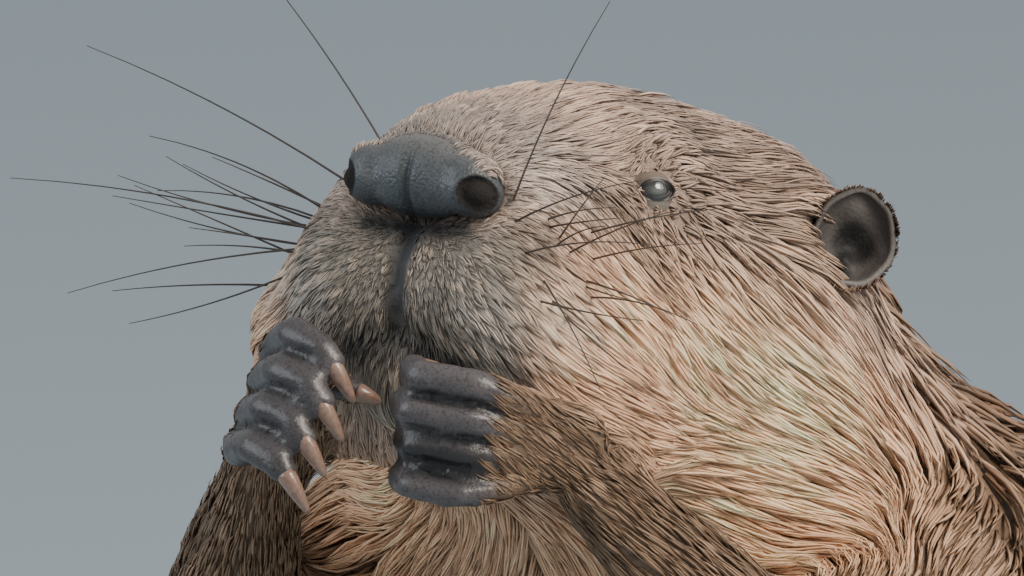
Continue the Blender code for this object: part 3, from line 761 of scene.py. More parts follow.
def marking(points):
    """The coat's colour at places in metres, as linear colours."""
    local = in_head(points)
    side, forward, up = np.abs(local[:, 0]), local[:, 1], local[:, 2]
    body = blend(np.tile(BACK, (len(points), 1)), BELLY, ramp(-points[:, 1] - 0.06, 0, 0.12))
    body = blend(body, LIMB, ramp(0.11 - points[:, 2], 0, 0.09) * 0.6)
    head = np.tile(CROWN, (len(points), 1))
    head = blend(head, CHEEK, ramp(side, 25, 45) * ramp(20 - up, 0, 35))
    head = blend(head, JAW, ramp(-forward, 48, 85) * ramp(-up, -4, 34) * 0.75)
    head = blend(head, BRIDGE, ramp(44 + forward, 0, 26) * ramp(up, -2, 12) * 0.8)
    grey = ramp(46 + forward, 0, 26) * ramp(-up, -2, 14) * (1 - ramp(side, 25, 40))
    head = blend(head, MUZZLE, grey)
    pad = ramp(forward, -14, -5) * (1 - ramp(side, 8, 15)) * ramp(up, 3, 9)
    head = blend(head, PAD_EDGE, pad * 0.9)
    # painted shadow on the fur just under the nose pad's lower edge
    under = np.exp(-(((up + 8.5) / 3.4) ** 2)) * (1 - ramp(side, 13, 19)) * ramp(forward, -20, -13)
    head = blend(head, LIP_SKIN_AND_SHADE, under * 0.9)
    for place, reach, colour, strength in PATCHES:
        away = np.linalg.norm(np.column_stack([side, forward, up]) - place, axis=1)
        head = blend(head, colour, np.exp(-((away / reach) ** 2)) * strength)
    for place in EYES:
        away = distance_to(points, place) / MM
        head = blend(head, BEHIND_EYE, np.exp(-((away / 14) ** 2)) * 0.55)
    # painted shade of the fold behind each eye
    for place in (head_place(sign * 49, -66, 16) for sign in SIDES.values()):
        away = distance_to(points, place) / MM
        head = blend(head, EYE_FOLD_SHADE, np.exp(-((away / 6.5) ** 2)) * 0.7)
    groove, mouth = folded(points)
    # painted shade along the lip groove and the mouth line, over the lips' own dark skin
    head = blend(head, LIP_SKIN_AND_SHADE, np.clip(groove * 1.8 + mouth * 0.9, 0, 0.96))
    for place in EARS:
        head = blend(head, EAR_DARK, (1 - ramp(distance_to(points, place) / MM, 11, 15)) * 0.85)
    on_arm = on_arms(points, 1.15)
    return blend(head, blend(body, LIMB, on_arm * 0.7), np.maximum(on_arm, ramp(-forward, 108, 200)))


def paint(mesh, colours, name="coat_colour"):
    layer = mesh.color_attributes.new(name, "FLOAT_COLOR", "POINT")
    layer.data.foreach_set("color", np.column_stack([colours, np.ones(len(colours))]).ravel())


def value_layer(mesh, name, values):
    mesh.attributes.new(name, "FLOAT", "POINT").data.foreach_set("value", values)


# %% [markdown]
# ## Where each kind of skin is
#
# Every point of the one skin asks which solid it came from: hand and foot are bare wrinkled leather, the
# paddle is scaled, the rest carries fur. The masks are softened over a few millimetres, so the kinds run
# into each other as they do at a wrist.

# %% Masks on the skin
ZONES = {
    "fur": BODY_NODES,
    "foot": [f"{part}_{side}" for part in ("forepaw", "hind_foot") for side in SIDES],
    "tail": ["tail_paddle"],
}


def tree_of(meshes):
    """A search tree over several meshes together."""
    corners, faces = [], []
    for mesh in meshes:
        start = len(corners)
        corners += points_of(mesh).tolist()
        faces += [[start + v for v in face.vertices] for face in mesh.polygons]
    return BVHTree.FromPolygons(corners, faces)


zone_trees = {
    zone: tree_of([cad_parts[name].data for name in names]) for zone, names in ZONES.items()
}


def nearness(points, zone, soft):
    """1 where a point is closest to that zone's solids and 0 where to others, soft across soft metres."""
    gaps = {}
    for name, tree in zone_trees.items():
        gaps[name] = np.array([tree.find_nearest(Vector(p), 0.06)[3] or 0.06 for p in points])
    others = np.minimum.reduce([gap for name, gap in gaps.items() if name != zone])
    return ramp(others - gaps[zone], -soft, soft)


points = points_of(skin_mesh)
low = (np.abs(points[:, 0]) > 0.07) & (points[:, 2] < 0.06)
foot_mask, tail_mask = np.zeros(len(points)), np.zeros(len(points))
foot_mask[low] = nearness(points[low], "foot", 4 * MM)
for side in SIDES:
    heart, palm, _ = palms[side]
    from_heart = distance_to(points, heart)
    hand = (from_heart < 46 * MM) & (from_heart < distance_to(points, wrists[side]))
    to_hand, to_fur = (
        np.array([zone_trees[zone].find_nearest(Vector(p), 0.06)[3] or 0.06 for p in points[hand]])
        for zone in ("foot", "fur")
    )
    hand[hand] = (to_hand < 6 * MM) | (to_hand < to_fur)
    foot_mask[hand] = ramp((points[hand] - heart) @ palm, -15 * MM, -6 * MM)
tail_mask = ramp(points[:, 1] - TAIL_START[1], -3 * MM, 5 * MM)
FOOT_SKIN, TAIL_SKIN = shade("534e4f"), shade("37353a")
colours = marking(points) * 0.7
colours = blend(colours, FOOT_SKIN, foot_mask)
# painted shade: the right hand's upper part is darker because it lies in shade
colours = blend(colours, FOOT_SKIN * 0.7, foot_mask * (points[:, 0] < 0) * (points[:, 2] > 0.2))
# painted shade in the creases between the fingers
colours = blend(colours, FOOT_SKIN * 0.08, np.clip(creases(points) * 1.2, 0, 1) * foot_mask)
colours = blend(colours, TAIL_SKIN, tail_mask)
# painted shade on the left hand's third finger, tucked in under the two above it
colours = blend(colours, FOOT_SKIN * 0.12, deep_fold(points) * foot_mask)
paint(skin_mesh, colours)
value_layer(skin_mesh, "foot", foot_mask)
value_layer(skin_mesh, "tail", tail_mask)
print("bare foot share", foot_mask.mean().round(3), "tail share", tail_mask.mean().round(3))

# %% [markdown]
# ## Shared shader effects
#
# Each effect is a node group that gives a colour, a mask or a height, and several finishes use it. Leather is
# pebbled by a cell pattern, with some broad unevenness. Nothing here looks at the camera or at an image.


# %% Node helpers
def group(name, inputs, outputs):
    """A node group with named inputs {name: (kind, default)} and outputs {name: kind}."""
    tree = bpy.data.node_groups.new(name, "ShaderNodeTree")
    for label, (kind, value) in inputs.items():
        socket = tree.interface.new_socket(label, in_out="INPUT", socket_type=kind)
        if value is not None:
            socket.default_value = value
    for label, kind in outputs.items():
        tree.interface.new_socket(label, in_out="OUTPUT", socket_type=kind)
    return tree, tree.nodes.new("NodeGroupInput"), tree.nodes.new("NodeGroupOutput")


def node(tree, kind, settings=None, **inputs):
    """Adds a node. An input is a value or a socket to link from; underscores stand for spaces."""
    made = tree.nodes.new(kind)
    for label, value in (settings or {}).items():
        setattr(made, label, value)
    for label, value in inputs.items():
        key = int(label[1:]) if label[0] == "_" else label.replace("_", " ")
        if isinstance(value, bpy.types.NodeSocket):
            tree.links.new(value, made.inputs[key])
        else:
            made.inputs[key].default_value = value
    return made


def math_node(tree, operation, *values):
    inputs = {f"_{i}": value for i, value in enumerate(values)}
    return node(tree, "ShaderNodeMath", {"operation": operation}, **inputs).outputs[0]


# %% Pebbled leather
FLOAT, VECTOR = "NodeSocketFloat", "NodeSocketVector"


def pebbles():
    """Rounded pebbles between fine valleys, with some broad unevenness."""
    tree, given, result = group(
        "pebbled leather",
        {"Place": (VECTOR, None), "Per metre": (FLOAT, 900.0), "Unevenness": (FLOAT, 0.4)},
        {"Height": FLOAT, "Valley": FLOAT},
    )
    cells = node(
        tree, "ShaderNodeTexVoronoi", {"feature": "SMOOTH_F1"}, Vector=given.outputs["Place"],
        Scale=given.outputs["Per metre"], Smoothness=0.35,
    )
    broad = node(tree, "ShaderNodeTexNoise", Vector=given.outputs["Place"], Scale=140.0, Detail=4.0)
    dome = math_node(tree, "SUBTRACT", 1.0, cells.outputs["Distance"])
    uneven = math_node(tree, "MULTIPLY", broad.outputs["Fac"], given.outputs["Unevenness"])
    tree.links.new(math_node(tree, "ADD", dome, uneven), result.inputs["Height"])
    valley = node(tree, "ShaderNodeMapRange", Value=cells.outputs["Distance"], From_Min=0.45, From_Max=0.85)
    tree.links.new(valley.outputs["Result"], result.inputs["Valley"])
    return tree


PEBBLES = pebbles()
print("shader group:", PEBBLES.name, "with", len(PEBBLES.nodes), "nodes")


def new_material(name, **shader_values):
    material = bpy.data.materials.new(name)
    material.use_nodes = True
    tree = material.node_tree
    shader = tree.nodes["Principled BSDF"]
    for label, value in shader_values.items():
        shader.inputs[label.replace("_", " ")].default_value = value
    return material, tree, shader


def attribute(tree, name):
    return node(tree, "ShaderNodeAttribute", {"attribute_name": name})


def use_pebbles(tree, shader, per_metre, strength, unevenness=0.4):
    """Adds the leather bump and returns the group, whose valleys can darken a colour as painted shade."""
    place = node(tree, "ShaderNodeTexCoord").outputs["Object"]
    leather = node(tree, "ShaderNodeGroup", {"node_tree": PEBBLES})
    tree.links.new(place, leather.inputs["Place"])
    leather.inputs["Per metre"].default_value = per_metre
    leather.inputs["Unevenness"].default_value = unevenness
    bump = node(
        tree, "ShaderNodeBump", Strength=strength, Distance=0.0004, Height=leather.outputs["Height"]
    )
    tree.links.new(bump.outputs["Normal"], shader.inputs["Normal"])
    return leather


def darkened(tree, colour, mask, share):
    """The colour, darker by share where the mask is 1."""
    less = math_node(tree, "MULTIPLY", mask, share)
    keep = math_node(tree, "SUBTRACT", 1.0, less)
    mixed = node(tree, "ShaderNodeVectorMath", {"operation": "SCALE"}, _0=colour)
    tree.links.new(keep, mixed.inputs["Scale"])
    return mixed.outputs[0]


# %% Skin material
skin_finish, tree, shader = new_material("skin", Roughness=0.55)
leather = use_pebbles(tree, shader, 1300.0, 0.18)
base = attribute(tree, "coat_colour").outputs["Color"]
# painted shade in the pebbles' valleys
tree.links.new(darkened(tree, base, leather.outputs["Valley"], 0.45), shader.inputs["Base Color"])
wet = node(
    tree, "ShaderNodeMapRange", Value=attribute(tree, "foot").outputs["Fac"], To_Min=0.6, To_Max=0.36
)
tree.links.new(wet.outputs["Result"], shader.inputs["Roughness"])
skin_mesh.materials.clear()
skin_mesh.materials.append(skin_finish)
skin_mesh.shade_smooth()
skin = new_object("skin", skin_mesh)
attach(skin, "root")
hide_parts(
    *BODY_NODES, "tail_paddle",
    *[f"{part}_{side}" for part in ("forepaw", "hind_foot") for side in SIDES],
)
print("skin:", len(skin_mesh.vertices), "points")

# %% [markdown]
# ## Nose
#
# The nose pad is a block of bare leather. Two fleshy wings curl round the nostrils, which open sideways and
# can close under water. The pits are cut out with ellipsoids, because a pit pushed in by hand stretches the
# skin. A fine voxel skin joins pad and wings first.


# %% Nose pad
def cut_out(mesh, tools):
    holder, tool = new_object("holder", mesh), new_object("tool", joined(tools))
    cut = holder.modifiers.new("cut", "BOOLEAN")
    cut.operation, cut.solver, cut.object = "DIFFERENCE", "EXACT", tool
    graph = bpy.context.evaluated_depsgraph_get()
    made = bpy.data.meshes.new_from_object(holder.evaluated_get(graph))
    bpy.data.objects.remove(holder)
    bpy.data.objects.remove(tool)
    return made


nose_forms = [head_blob(0, -9.5, 5.0, (17.8, 10, 11.0)), head_blob(0, -17, 5.0, (17, 11, 9.6))]
PITS = (
    (21.2, -3.2, 0.8, (5.6, 7.0, 4.6)),
    (17.2, -7.6, 1.6, (5.2, 4.8, 4.0)),
    (13.0, -11.0, 2.0, (4.8, 4.4, 3.6)),
)
pits = []
for sign in SIDES.values():
    nose_forms.append(head_blob(sign * 15.3, -9.5, 2.2, (8.2, 9.3, 6.6)))
    nose_forms.append(head_blob(sign * 14.0, -9.0, 5.6, (8.0, 8.6, 6.2)))
    for side, forward, up, radii in PITS:
        pits.append(head_blob(sign * side, forward, up, radii, 4))
nose_mesh = one_skin(joined(nose_forms), 0.7 * MM)
soften(nose_mesh, 6)
nose_mesh = one_skin(cut_out(nose_mesh, pits), 0.6 * MM)
soften(nose_mesh, 3)
points, normals = points_of(nose_mesh), normals_of(nose_mesh)
local = in_head(points)
crease = np.exp(-((local[:, 0] / 1.2) ** 2)) * ramp(local[:, 1], -12, -4) * ramp(13 - local[:, 2], 0, 8)
set_points(nose_mesh, points - normals * crease[:, None] * 1.3 * MM)
NOSE_LEATHER, NOSTRIL_SHADE, NOSE_TOP_LIT = shade("42484b"), shade("16100d"), shade("656361")
in_pit = np.zeros(len(points))
for sign in SIDES.values():
    for side, forward, up, radii in PITS:
        inside = np.linalg.norm((local - (sign * side, forward, up)) / radii, axis=1)
        in_pit = np.maximum(in_pit, ramp(1.16 - inside, 0, 0.14))
# painted light: the pad is lighter towards its top, which faces the sky
colours = blend(np.tile(NOSE_LEATHER, (len(points), 1)), NOSE_TOP_LIT, ramp(local[:, 2], 4, 16))
wings = np.exp(-(((np.abs(local[:, 0]) - 11) / 5) ** 2)) * ramp(8 - local[:, 2], 0, 6)
colours = blend(colours, shade("5a5c60"), wings * 0.7)
# painted shade on the pad's underside, darkest along its lower edge
colours = blend(colours, LIP_SKIN_AND_SHADE * 0.6, ramp(-local[:, 2], 3.5, 8) * 0.9)
# painted shade in the pad's middle crease
colours = blend(colours, LIP_SKIN_AND_SHADE, crease * 0.6)
# painted shade: the nostril pits are nearly black inside
paint(nose_mesh, blend(colours, NOSTRIL_SHADE, in_pit))
value_layer(nose_mesh, "pit", in_pit)
nose_finish, tree, shader = new_material("nose leather")
dry = node(tree, "ShaderNodeMapRange", Value=attribute(tree, "pit").outputs["Fac"], To_Min=0.4, To_Max=0.9)
tree.links.new(dry.outputs["Result"], shader.inputs["Roughness"])
leather = use_pebbles(tree, shader, 1250.0, 0.5, 0.5)
base = attribute(tree, "coat_colour").outputs["Color"]
# painted shade in the pebbles' valleys
tree.links.new(darkened(tree, base, leather.outputs["Valley"], 0.4), shader.inputs["Base Color"])
nose_mesh.materials.clear()
nose_mesh.materials.append(nose_finish)
nose_mesh.shade_smooth()
nose = new_object("nose_pad", nose_mesh)
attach(nose, "root")
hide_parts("nose")
print("nose:", len(nose_mesh.polygons), "faces")

# %% [markdown]
# ## Eyes
#
# A beaver's eye is a small dark bead. The lids' opening is an almond about 7 mm long, so most of the ball is
# hidden. The lids are rings that start on the ball, roll over a wet rim and run out under the fur.

# %% Find the lie of the head at the eye
skin_tree = tree_of([skin_mesh])
EYE_HALF_LENGTH, EYE_HALF_HEIGHT = 3.6, 1.75


def eye_axes(sign):
    """(centre, the way it looks, the opening's long direction, its upward direction)"""
    centre = head_place(sign * EYE[0], EYE[1], EYE[2])
    _, normal, _, _ = skin_tree.find_nearest(Vector(centre) + Vector(head_place(sign * 9, 1, 4) - NOSE_TIP))
    outward = np.array(normal) * 0.4 + HEAD_AXES.T @ np.array((sign * 0.64, 0.88, -0.19)) * 0.6
    outward /= np.linalg.norm(outward)
    long = HEAD_AXES.T @ np.array((sign * 0.85, -0.48, 0.24))
    long -= outward * (long @ outward)
    long /= np.linalg.norm(long)
    up = np.cross(outward, long)
    up *= math.copysign(1.0, up[2])
    return centre, outward, long, up


# %% Eyeballs and lids
def lid_ring(sign, grow, lift, points=48):
    """An almond round the opening, grown by grow and lifted by lift millimetres from the ball's middle."""
    centre, outward, long, up = eye_axes(sign)
    made = []
    for i in range(points):
        angle = 2 * math.pi * i / points
        c, s = math.cos(angle), math.sin(angle)
        pointed = abs(s) ** 1.25 if s > 0 else abs(s) ** 1.15
        x = (EYE_HALF_LENGTH + grow) * c
        y = math.copysign((EYE_HALF_HEIGHT * (1.06 if s > 0 else 0.9) + grow) * pointed, s)
        made.append(Vector(centre + (long * x + up * y + outward * lift) * MM))
    return made


def on_ball(x, y, radius):
    return math.sqrt(max(0.0, radius**2 - x * x - y * y))


EYE_RIM, EYE_PAINTED_REFLECTION = shade("100e0c"), shade("5c605a")
LID_RINGS = (  # how far outside the opening, and how high over the ball
    (-0.5, None), (-0.15, 0.25), (0.3, 0.6), (0.9, 0.6), (1.7, -0.2), (2.8, -1.9), (4.6, -4.2), (6.0, -6.0),
)
lid_meshes = []
for side, sign in SIDES.items():
    centre, outward, long, up = eye_axes(sign)
    bm = bmesh.new()
    bmesh.ops.create_uvsphere(bm, u_segments=48, v_segments=24, radius=EYE_RADIUS * MM)
    bm.transform(Matrix.Translation(centre) @ Vector(outward).to_track_quat("Z", "Y").to_matrix().to_4x4())
    ball_mesh = mesh_from(bm)
    points = points_of(ball_mesh)
    ahead = (points - centre) @ outward / MM
    cornea = ramp(ahead, 4.2, 5.4)
    # a painted reflection of the sky in the middle of the dark ball
    off_axis = np.hypot((points - centre) @ long / MM / 2.5, (points - centre) @ up / MM / 1.4)
    painted_reflection = np.exp(-(off_axis**2)) * (ahead > 0)
    paint(ball_mesh, blend(np.tile(EYE_RIM, (len(points), 1)), EYE_PAINTED_REFLECTION, painted_reflection))
    set_points(ball_mesh, points + outward * cornea[:, None] * 0.35 * MM)
    ball_mesh.shade_smooth()
    ball = new_object(f"eyeball_{side}", ball_mesh)
    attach(ball, "root")
    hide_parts(f"eye_{side}")
    outline = []
    for grow, lift in LID_RINGS:
        ring_points = lid_ring(sign, grow, 0)
        for i, p in enumerate(ring_points):
            flat = np.array(p) - centre
            x, y = flat @ long / MM, flat @ up / MM
            over = on_ball(x, y, EYE_RADIUS)
            height = on_ball(x, y, EYE_RADIUS + 0.1) if lift is None else over * 0.93 + lift
            if grow > 1.5:
                corner = on_ball(EYE_HALF_LENGTH, 0, EYE_RADIUS)
                height = max(over + 0.5, corner + 1.0 + lift)
            place = Vector(centre + (long * x + up * y + outward * height) * MM)
            if grow > 2:
                on_skin, lie, _, _ = skin_tree.find_nearest(place)
                place = place.lerp(on_skin - lie * 0.7 * MM, min(1.0, (grow - 1.6) / 3.0))
            apart = place - Vector(centre)
            if grow > 1 and apart.length < (EYE_RADIUS + 0.45) * MM and grow < 4:
                place = Vector(centre) + apart.normalized() * (EYE_RADIUS + 0.45) * MM
            ring_points[i] = place
        outline.append(ring_points)
    bm = bmesh.new()
    rows = [[bm.verts.new(p) for p in row] for row in outline]
    for near, far in zip(rows, rows[1:]):
        for i in range(len(near)):
            j = (i + 1) % len(near)
            ring = (near[i], near[j], far[j], far[i]) if sign > 0 else (near[j], near[i], far[i], far[j])
            bm.faces.new(ring)
    bmesh.ops.subdivide_edges(bm, edges=bm.edges, cuts=1, smooth=1.0, use_grid_fill=True)
    lids = bpy.data.meshes.new("lids")
    bm.to_mesh(lids)
    bm.free()
    out = sum(f.normal.dot(Vector(outward)) for f in lids.polygons)
    if out < 0:
        lids.flip_normals()
    points = points_of(lids)
    flat = (points - centre) / MM
    away = np.hypot(flat @ long / (EYE_HALF_LENGTH + 1.0), flat @ up / (EYE_HALF_HEIGHT + 1.0))
    colours = blend(np.tile(shade("241d1a"), (len(points), 1)), shade("6f6155"), ramp(away, 1.05, 1.4))
    # painted highlight: a paler crescent on the wet lower lid
    below = ramp(-(flat @ up), 2.4, 3.4) * ramp(away, 1.0, 1.15) * ramp(2.1 - away, 0, 0.4)
    colours = blend(colours, shade("a39d90"), below * 0.5)
    paint(lids, colours)
    lids.shade_smooth()
    lid_meshes.append(lids)
eye_finish, tree, shader = new_material(
    "eye", Roughness=0.12, Coat_Weight=1.0, Coat_Roughness=0.03
)
tree.links.new(attribute(tree, "coat_colour").outputs["Color"], shader.inputs["Base Color"])
lid_finish, tree, shader = new_material("lids", Roughness=0.45)
use_pebbles(tree, shader, 1500.0, 0.12)
tree.links.new(attribute(tree, "coat_colour").outputs["Color"], shader.inputs["Base Color"])
for side in SIDES:
    bpy.data.objects[f"eyeball_{side}"].data.materials.append(eye_finish)
for side, lids in zip(SIDES, lid_meshes):
    lids.materials.append(lid_finish)
    piece = new_object(f"eyelids_{side}", lids)
    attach(piece, "root")
print("eyes look towards", eye_axes(1)[1].round(2))

# %% [markdown]
# ## Ears
#
# The ear is a short cup of thin skin with a rolled rim. A fold runs down inside it to a dark canal. It is a
# bowl of rings, outside then inside, and the inside rings are pushed by a smooth rule to make the fold.


# %% Ears
EAR_SIZE = (14, 11.5, 8)


def ear_axes(sign):
    """(centre, up along the ear, across it, the way it opens)"""
    opens = Vector(HEAD_AXES.T @ np.array((sign * 0.62, 0.74, 0.12)))
    axes = frame_between(Vector(), opens, Vector(HEAD_AXES.T @ np.array((0, -0.25, 1.0))))
    return head_place(sign * EAR[0], EAR[1], EAR[2]), *(np.array(axes.col[i]) for i in range(3))


EAR_HOLLOWS = (((0.2, -1.2), 3.4, 1.4), ((-9.0, 1.2), 2.6, 1.4))  # place in the cup, reach, depth


def dent(x, y, place, reach):
    return math.exp(-((x - place[0]) ** 2 + (y - place[1]) ** 2) / reach**2)


def ear_cup(sign, points=64, rows=18):
    centre, upright, across, facing = ear_axes(sign)
    levels = [(math.radians(3 + 87 * i / (rows - 1)), 0.0) for i in range(rows)]
    levels += [(math.radians(90), 0.33), (math.radians(90), 0.7)]
    levels += [(math.radians(3 + 87 * i / (rows - 1)), 1.0) for i in reversed(range(rows))]
    rings = []
    for angle, inward in levels:
        a, b, c = (radius - 1.7 * inward for radius in EAR_SIZE)
        lift = 0.75 * math.sin(math.pi * inward) if 0 < inward < 1 else 0.0
        outline = []
        for i in range(points):
            turn = 2 * math.pi * i / points
            x, y = a * math.sin(angle) * math.cos(turn), b * math.sin(angle) * math.sin(turn)
            z = -c * math.cos(angle) + lift
            front = y * sign
            if inward == 1.0:
                z += 3.0 * dent(x, front, (7.2, 1.5), 4.2) + 1.7 * dent(x, front, (-5.0, -0.6), 2.2)
                z += 1.2 * dent(x, front, (1.0, -8.0), 2.6)
            for place, reach, deep in EAR_HOLLOWS:
                z -= deep * dent(x, front, place, reach)
            rim = 1 + 0.035 * math.sin(3 * turn + 0.8) + 0.02 * math.sin(7 * turn) * math.sin(angle)
            outline.append(Vector(centre + (upright * x * rim + across * y * rim + facing * z) * MM))
        rings.append(outline)
    return loft(rings), centre, facing


ear_finish, tree, shader = new_material("ear skin", Roughness=0.7)
use_pebbles(tree, shader, 900.0, 0.35, 0.6)
tree.links.new(attribute(tree, "coat_colour").outputs["Color"], shader.inputs["Base Color"])
for side, sign in SIDES.items():
    cup, centre, facing = ear_cup(sign)
    points = points_of(cup)
    deep = (points - centre) @ facing / MM
    _, upright, across, _ = ear_axes(sign)
    x, front = (points - centre) @ upright / MM, (points - centre) @ across / MM * sign
    colours = np.tile(shade("47423e"), (len(points), 1))
    colours = blend(colours, shade("6d6965"), ramp(-x - front * 0.6, 2, 12))
    # painted shade: the cup darkens deeper in, and its two hollows are nearly black where the canal runs in
    colours = blend(colours, shade("403b38"), ramp(-deep, 0.4, 3.0))
    for place, reach, _ in EAR_HOLLOWS:
        apart = np.hypot(x - place[0], front - place[1])
        hollow_shade = (1 - ramp(apart, reach * 1.3, reach * 2.1)) * ramp(-deep, 1, 2)
        colours = blend(colours, shade("0a0706"), hollow_shade)
    paint(cup, colours)
    cup.shade_smooth()
    cup.materials.append(ear_finish)
    ear = new_object(f"ear_cup_{side}", cup)
    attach(ear, "root")
    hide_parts(f"ear_{side}")
    print(ear.name, len(cup.polygons), "faces")

# %% [markdown]
# ## Claws
#
# Horn claws grow in layers, so faint grooves run along them. They keep the solid
# model's places and curves, with rounder sections.

# %% Claws
horn, tree, shader = new_material("horn", Roughness=0.3, Coat_Weight=0.3)
place = node(tree, "ShaderNodeTexCoord").outputs["Object"]
streaks = node(tree, "ShaderNodeTexNoise", Vector=place, Scale=900.0, Detail=3.0)
tint = node(tree, "ShaderNodeMix", {"data_type": "RGBA"}, Factor=streaks.outputs["Fac"])
for label, colour in (("A", shade("624c43")), ("B", shade("a1826f"))):
    socket = [s for s in tint.inputs if s.name == label and s.type == "RGBA"][0]
    socket.default_value = (*colour, 1)
tree.links.new([s for s in tint.outputs if s.type == "RGBA"][0], shader.inputs["Base Color"])
bump = node(tree, "ShaderNodeBump", Strength=0.25, Distance=0.0003, Height=streaks.outputs["Fac"])
tree.links.new(bump.outputs["Normal"], shader.inputs["Normal"])
for kind, forms in (("foreclaw", foreclaws), ("hindclaw", hindclaws)):
    mesh = joined(forms)
    mesh.shade_smooth()
    mesh.materials.append(horn)
    piece = new_object(f"{kind}s", mesh)
    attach(piece, "root")
    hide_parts(*[f"{kind}_{side}_{i}" for side in SIDES for i in range(1, 6)])
    print(piece.name, len(mesh.polygons), "faces")

# %% [markdown]
# ## The lie of the coat
#
# Fur grows away from the nose and then follows the body to the tail and to the hands and feet. Wet, it
# gathers in pointed locks, each drawn together at its tip. So the coat is laid in two steps. Guides are
# walked over the skin first, a few millimetres apart. Then many thin tufts start round each guide and close
# in on it.
#
# Hair particles would be quicker to set up, but they vanish on export, so every tuft here is a solid blade.


# %% Which way the fur lies
def unit(vectors):
    return vectors / np.maximum(np.linalg.norm(vectors, axis=-1, keepdims=True), 1e-9)


def head_flow(points):
    local = in_head(points)
    side, forward, up = np.abs(local[:, 0]), local[:, 1], local[:, 2]
    sign = np.sign(local[:, 0])[:, None] * np.array([1.0, 0, 0])
    from_nose = local - np.array([0, -4, -3])
    away, distance = unit(from_nose), np.linalg.norm(from_nose, axis=1)
    radial = 1 - 0.75 * ramp(distance, 25, 110)
    droop = 0.85 * ramp(24 - up, 0, 20) - 0.55 * ramp(-up, -4, 16) - 0.5 * ramp(-up, 16, 44)
    droop = droop * ramp(side, 10, 34) * ramp(-forward, 8, 34) - 0.25 * droop * ramp(-forward, 60, 100)
    lie = away * radial[:, None] + np.array([0, -1.0, 0]) * (1 - radial)[:, None]
    lie += sign * (0.25 * ramp(40 - up, 0, 40) * ramp(-forward, 20, 60))[:, None]
    lie[:, 2] -= droop
    for mirror in SIDES.values():
        eye = np.array([mirror * EYE[0], EYE[1], EYE[2] + 1])
        apart = local - eye
        near = np.exp(-((np.linalg.norm(apart, axis=1) / 13) ** 2))[:, None]
        lie += unit(apart) * near * np.array([0.4, 0.5, 1.5])
    return unit(lie) @ HEAD_AXES


LIMB_LINES = list(ARM_LINES)
for sign in SIDES.values():
    LIMB_LINES.append((body_place(sign * 116, 40, 66), body_place(sign * 104, -36, 30), 40 * MM))
LIMB_LINES.append((body_place(0, -150, 60), body_place(0, -225, 20), 70 * MM))


def flow(points):
    """The way the fur lies at places in metres, before it is laid flat on the skin."""
    local = in_head(points)
    side = np.sign(points[:, :1])
    low = ramp(0.2 - points[:, 2], 0, 0.16)[:, None]
    front = ramp(-points[:, 1] - 0.09, 0, 0.1)[:, None]
    body = np.array([0, 0.75, -0.8]) + np.array([0, 0.75, 0.35]) * low - np.array([0, 0.75, 0.1]) * front
    body = body + side * np.array([0.35, 0, 0]) * (0.4 + front)
    lie = unit(body)
    for start, end, reach in LIMB_LINES:
        weight = ramp(1.5 - to_line(points, start, end) / reach, 0, 0.6)[:, None]
        lie = lie * (1 - weight) + unit(end - start) * weight
    share = np.maximum(ramp(-local[:, 1], 110, 165), on_arms(points))[:, None]
    return unit(head_flow(points) * (1 - share) + lie * share)


print("fur on the crown lies towards", flow(head_place(0, -80, 45)[None])[0].round(2))

# %% Skin as numbers
bare = np.clip(foot_mask + tail_mask, 0, 1)
skin_mesh.calc_loop_triangles()
triangle_count = len(skin_mesh.loop_triangles)
corners = np.empty(triangle_count * 3, int)
skin_mesh.loop_triangles.foreach_get("vertices", corners)
corners = corners.reshape(-1, 3)
skin_points, skin_normals = points_of(skin_mesh), normals_of(skin_mesh)
sides_a = skin_points[corners[:, 1]] - skin_points[corners[:, 0]]
sides_b = skin_points[corners[:, 2]] - skin_points[corners[:, 0]]
areas = np.linalg.norm(np.cross(sides_a, sides_b), axis=1) / 2
middles = skin_points[corners].mean(axis=1)
triangle_normals = unit(skin_normals[corners].mean(axis=1))
walk_tree = BVHTree.FromPolygons(skin_points.tolist(), corners.tolist())
head_share = 1 - ramp(-in_head(middles)[:, 1], 122, 150)
head_share = head_share * ramp(in_head(middles)[:, 2], -92, -78)
head_share = head_share * (1 - on_arms(middles))
furred = ramp(1 - bare[corners].mean(axis=1), 0.4, 0.9)
furred = furred * (middles[:, 2] > 0.004) * (folded(middles)[0] < 0.4)
nose_tree = tree_of([nose_mesh])
near_nose = distance_to(middles, head_place(0, -10, 2)) < 34 * MM
for i in np.flatnonzero(near_nose):
    found, normal, _, gap = nose_tree.find_nearest(Vector(middles[i]))
    if (Vector(middles[i]) - found).dot(normal) < 0.1 * MM:
        furred[i] = 0
print("walked skin:", triangle_count, "triangles,", round(float(areas.sum()), 4), "square metres")


# %% Search trees over points
def point_tree(points):
    tree = KDTree(len(points))
    for i, p in enumerate(points):
        tree.insert(p, i)
    tree.balance()
    return tree


def nearest_guides(guides, roots):
    """For each root, the number of the guide that starts nearest to it."""
    tree = point_tree(guides["paths"][0])
    return np.array([tree.find(p)[1] for p in roots])


# %% Walk the guides
def scatter(rng, count, weight):
    """(points, normals) at random places, as many per area as weight says."""
    chance = np.cumsum(areas * weight)
    chosen = np.searchsorted(chance, rng.random(count) * chance[-1])
    a, b = rng.random(count), rng.random(count)
    flip = a + b > 1
    a[flip], b[flip] = 1 - a[flip], 1 - b[flip]
    shares = np.stack([1 - a - b, a, b], axis=1)[..., None]
    return (
        (skin_points[corners[chosen]] * shares).sum(axis=1),
        unit((skin_normals[corners[chosen]] * shares).sum(axis=1)),
    )


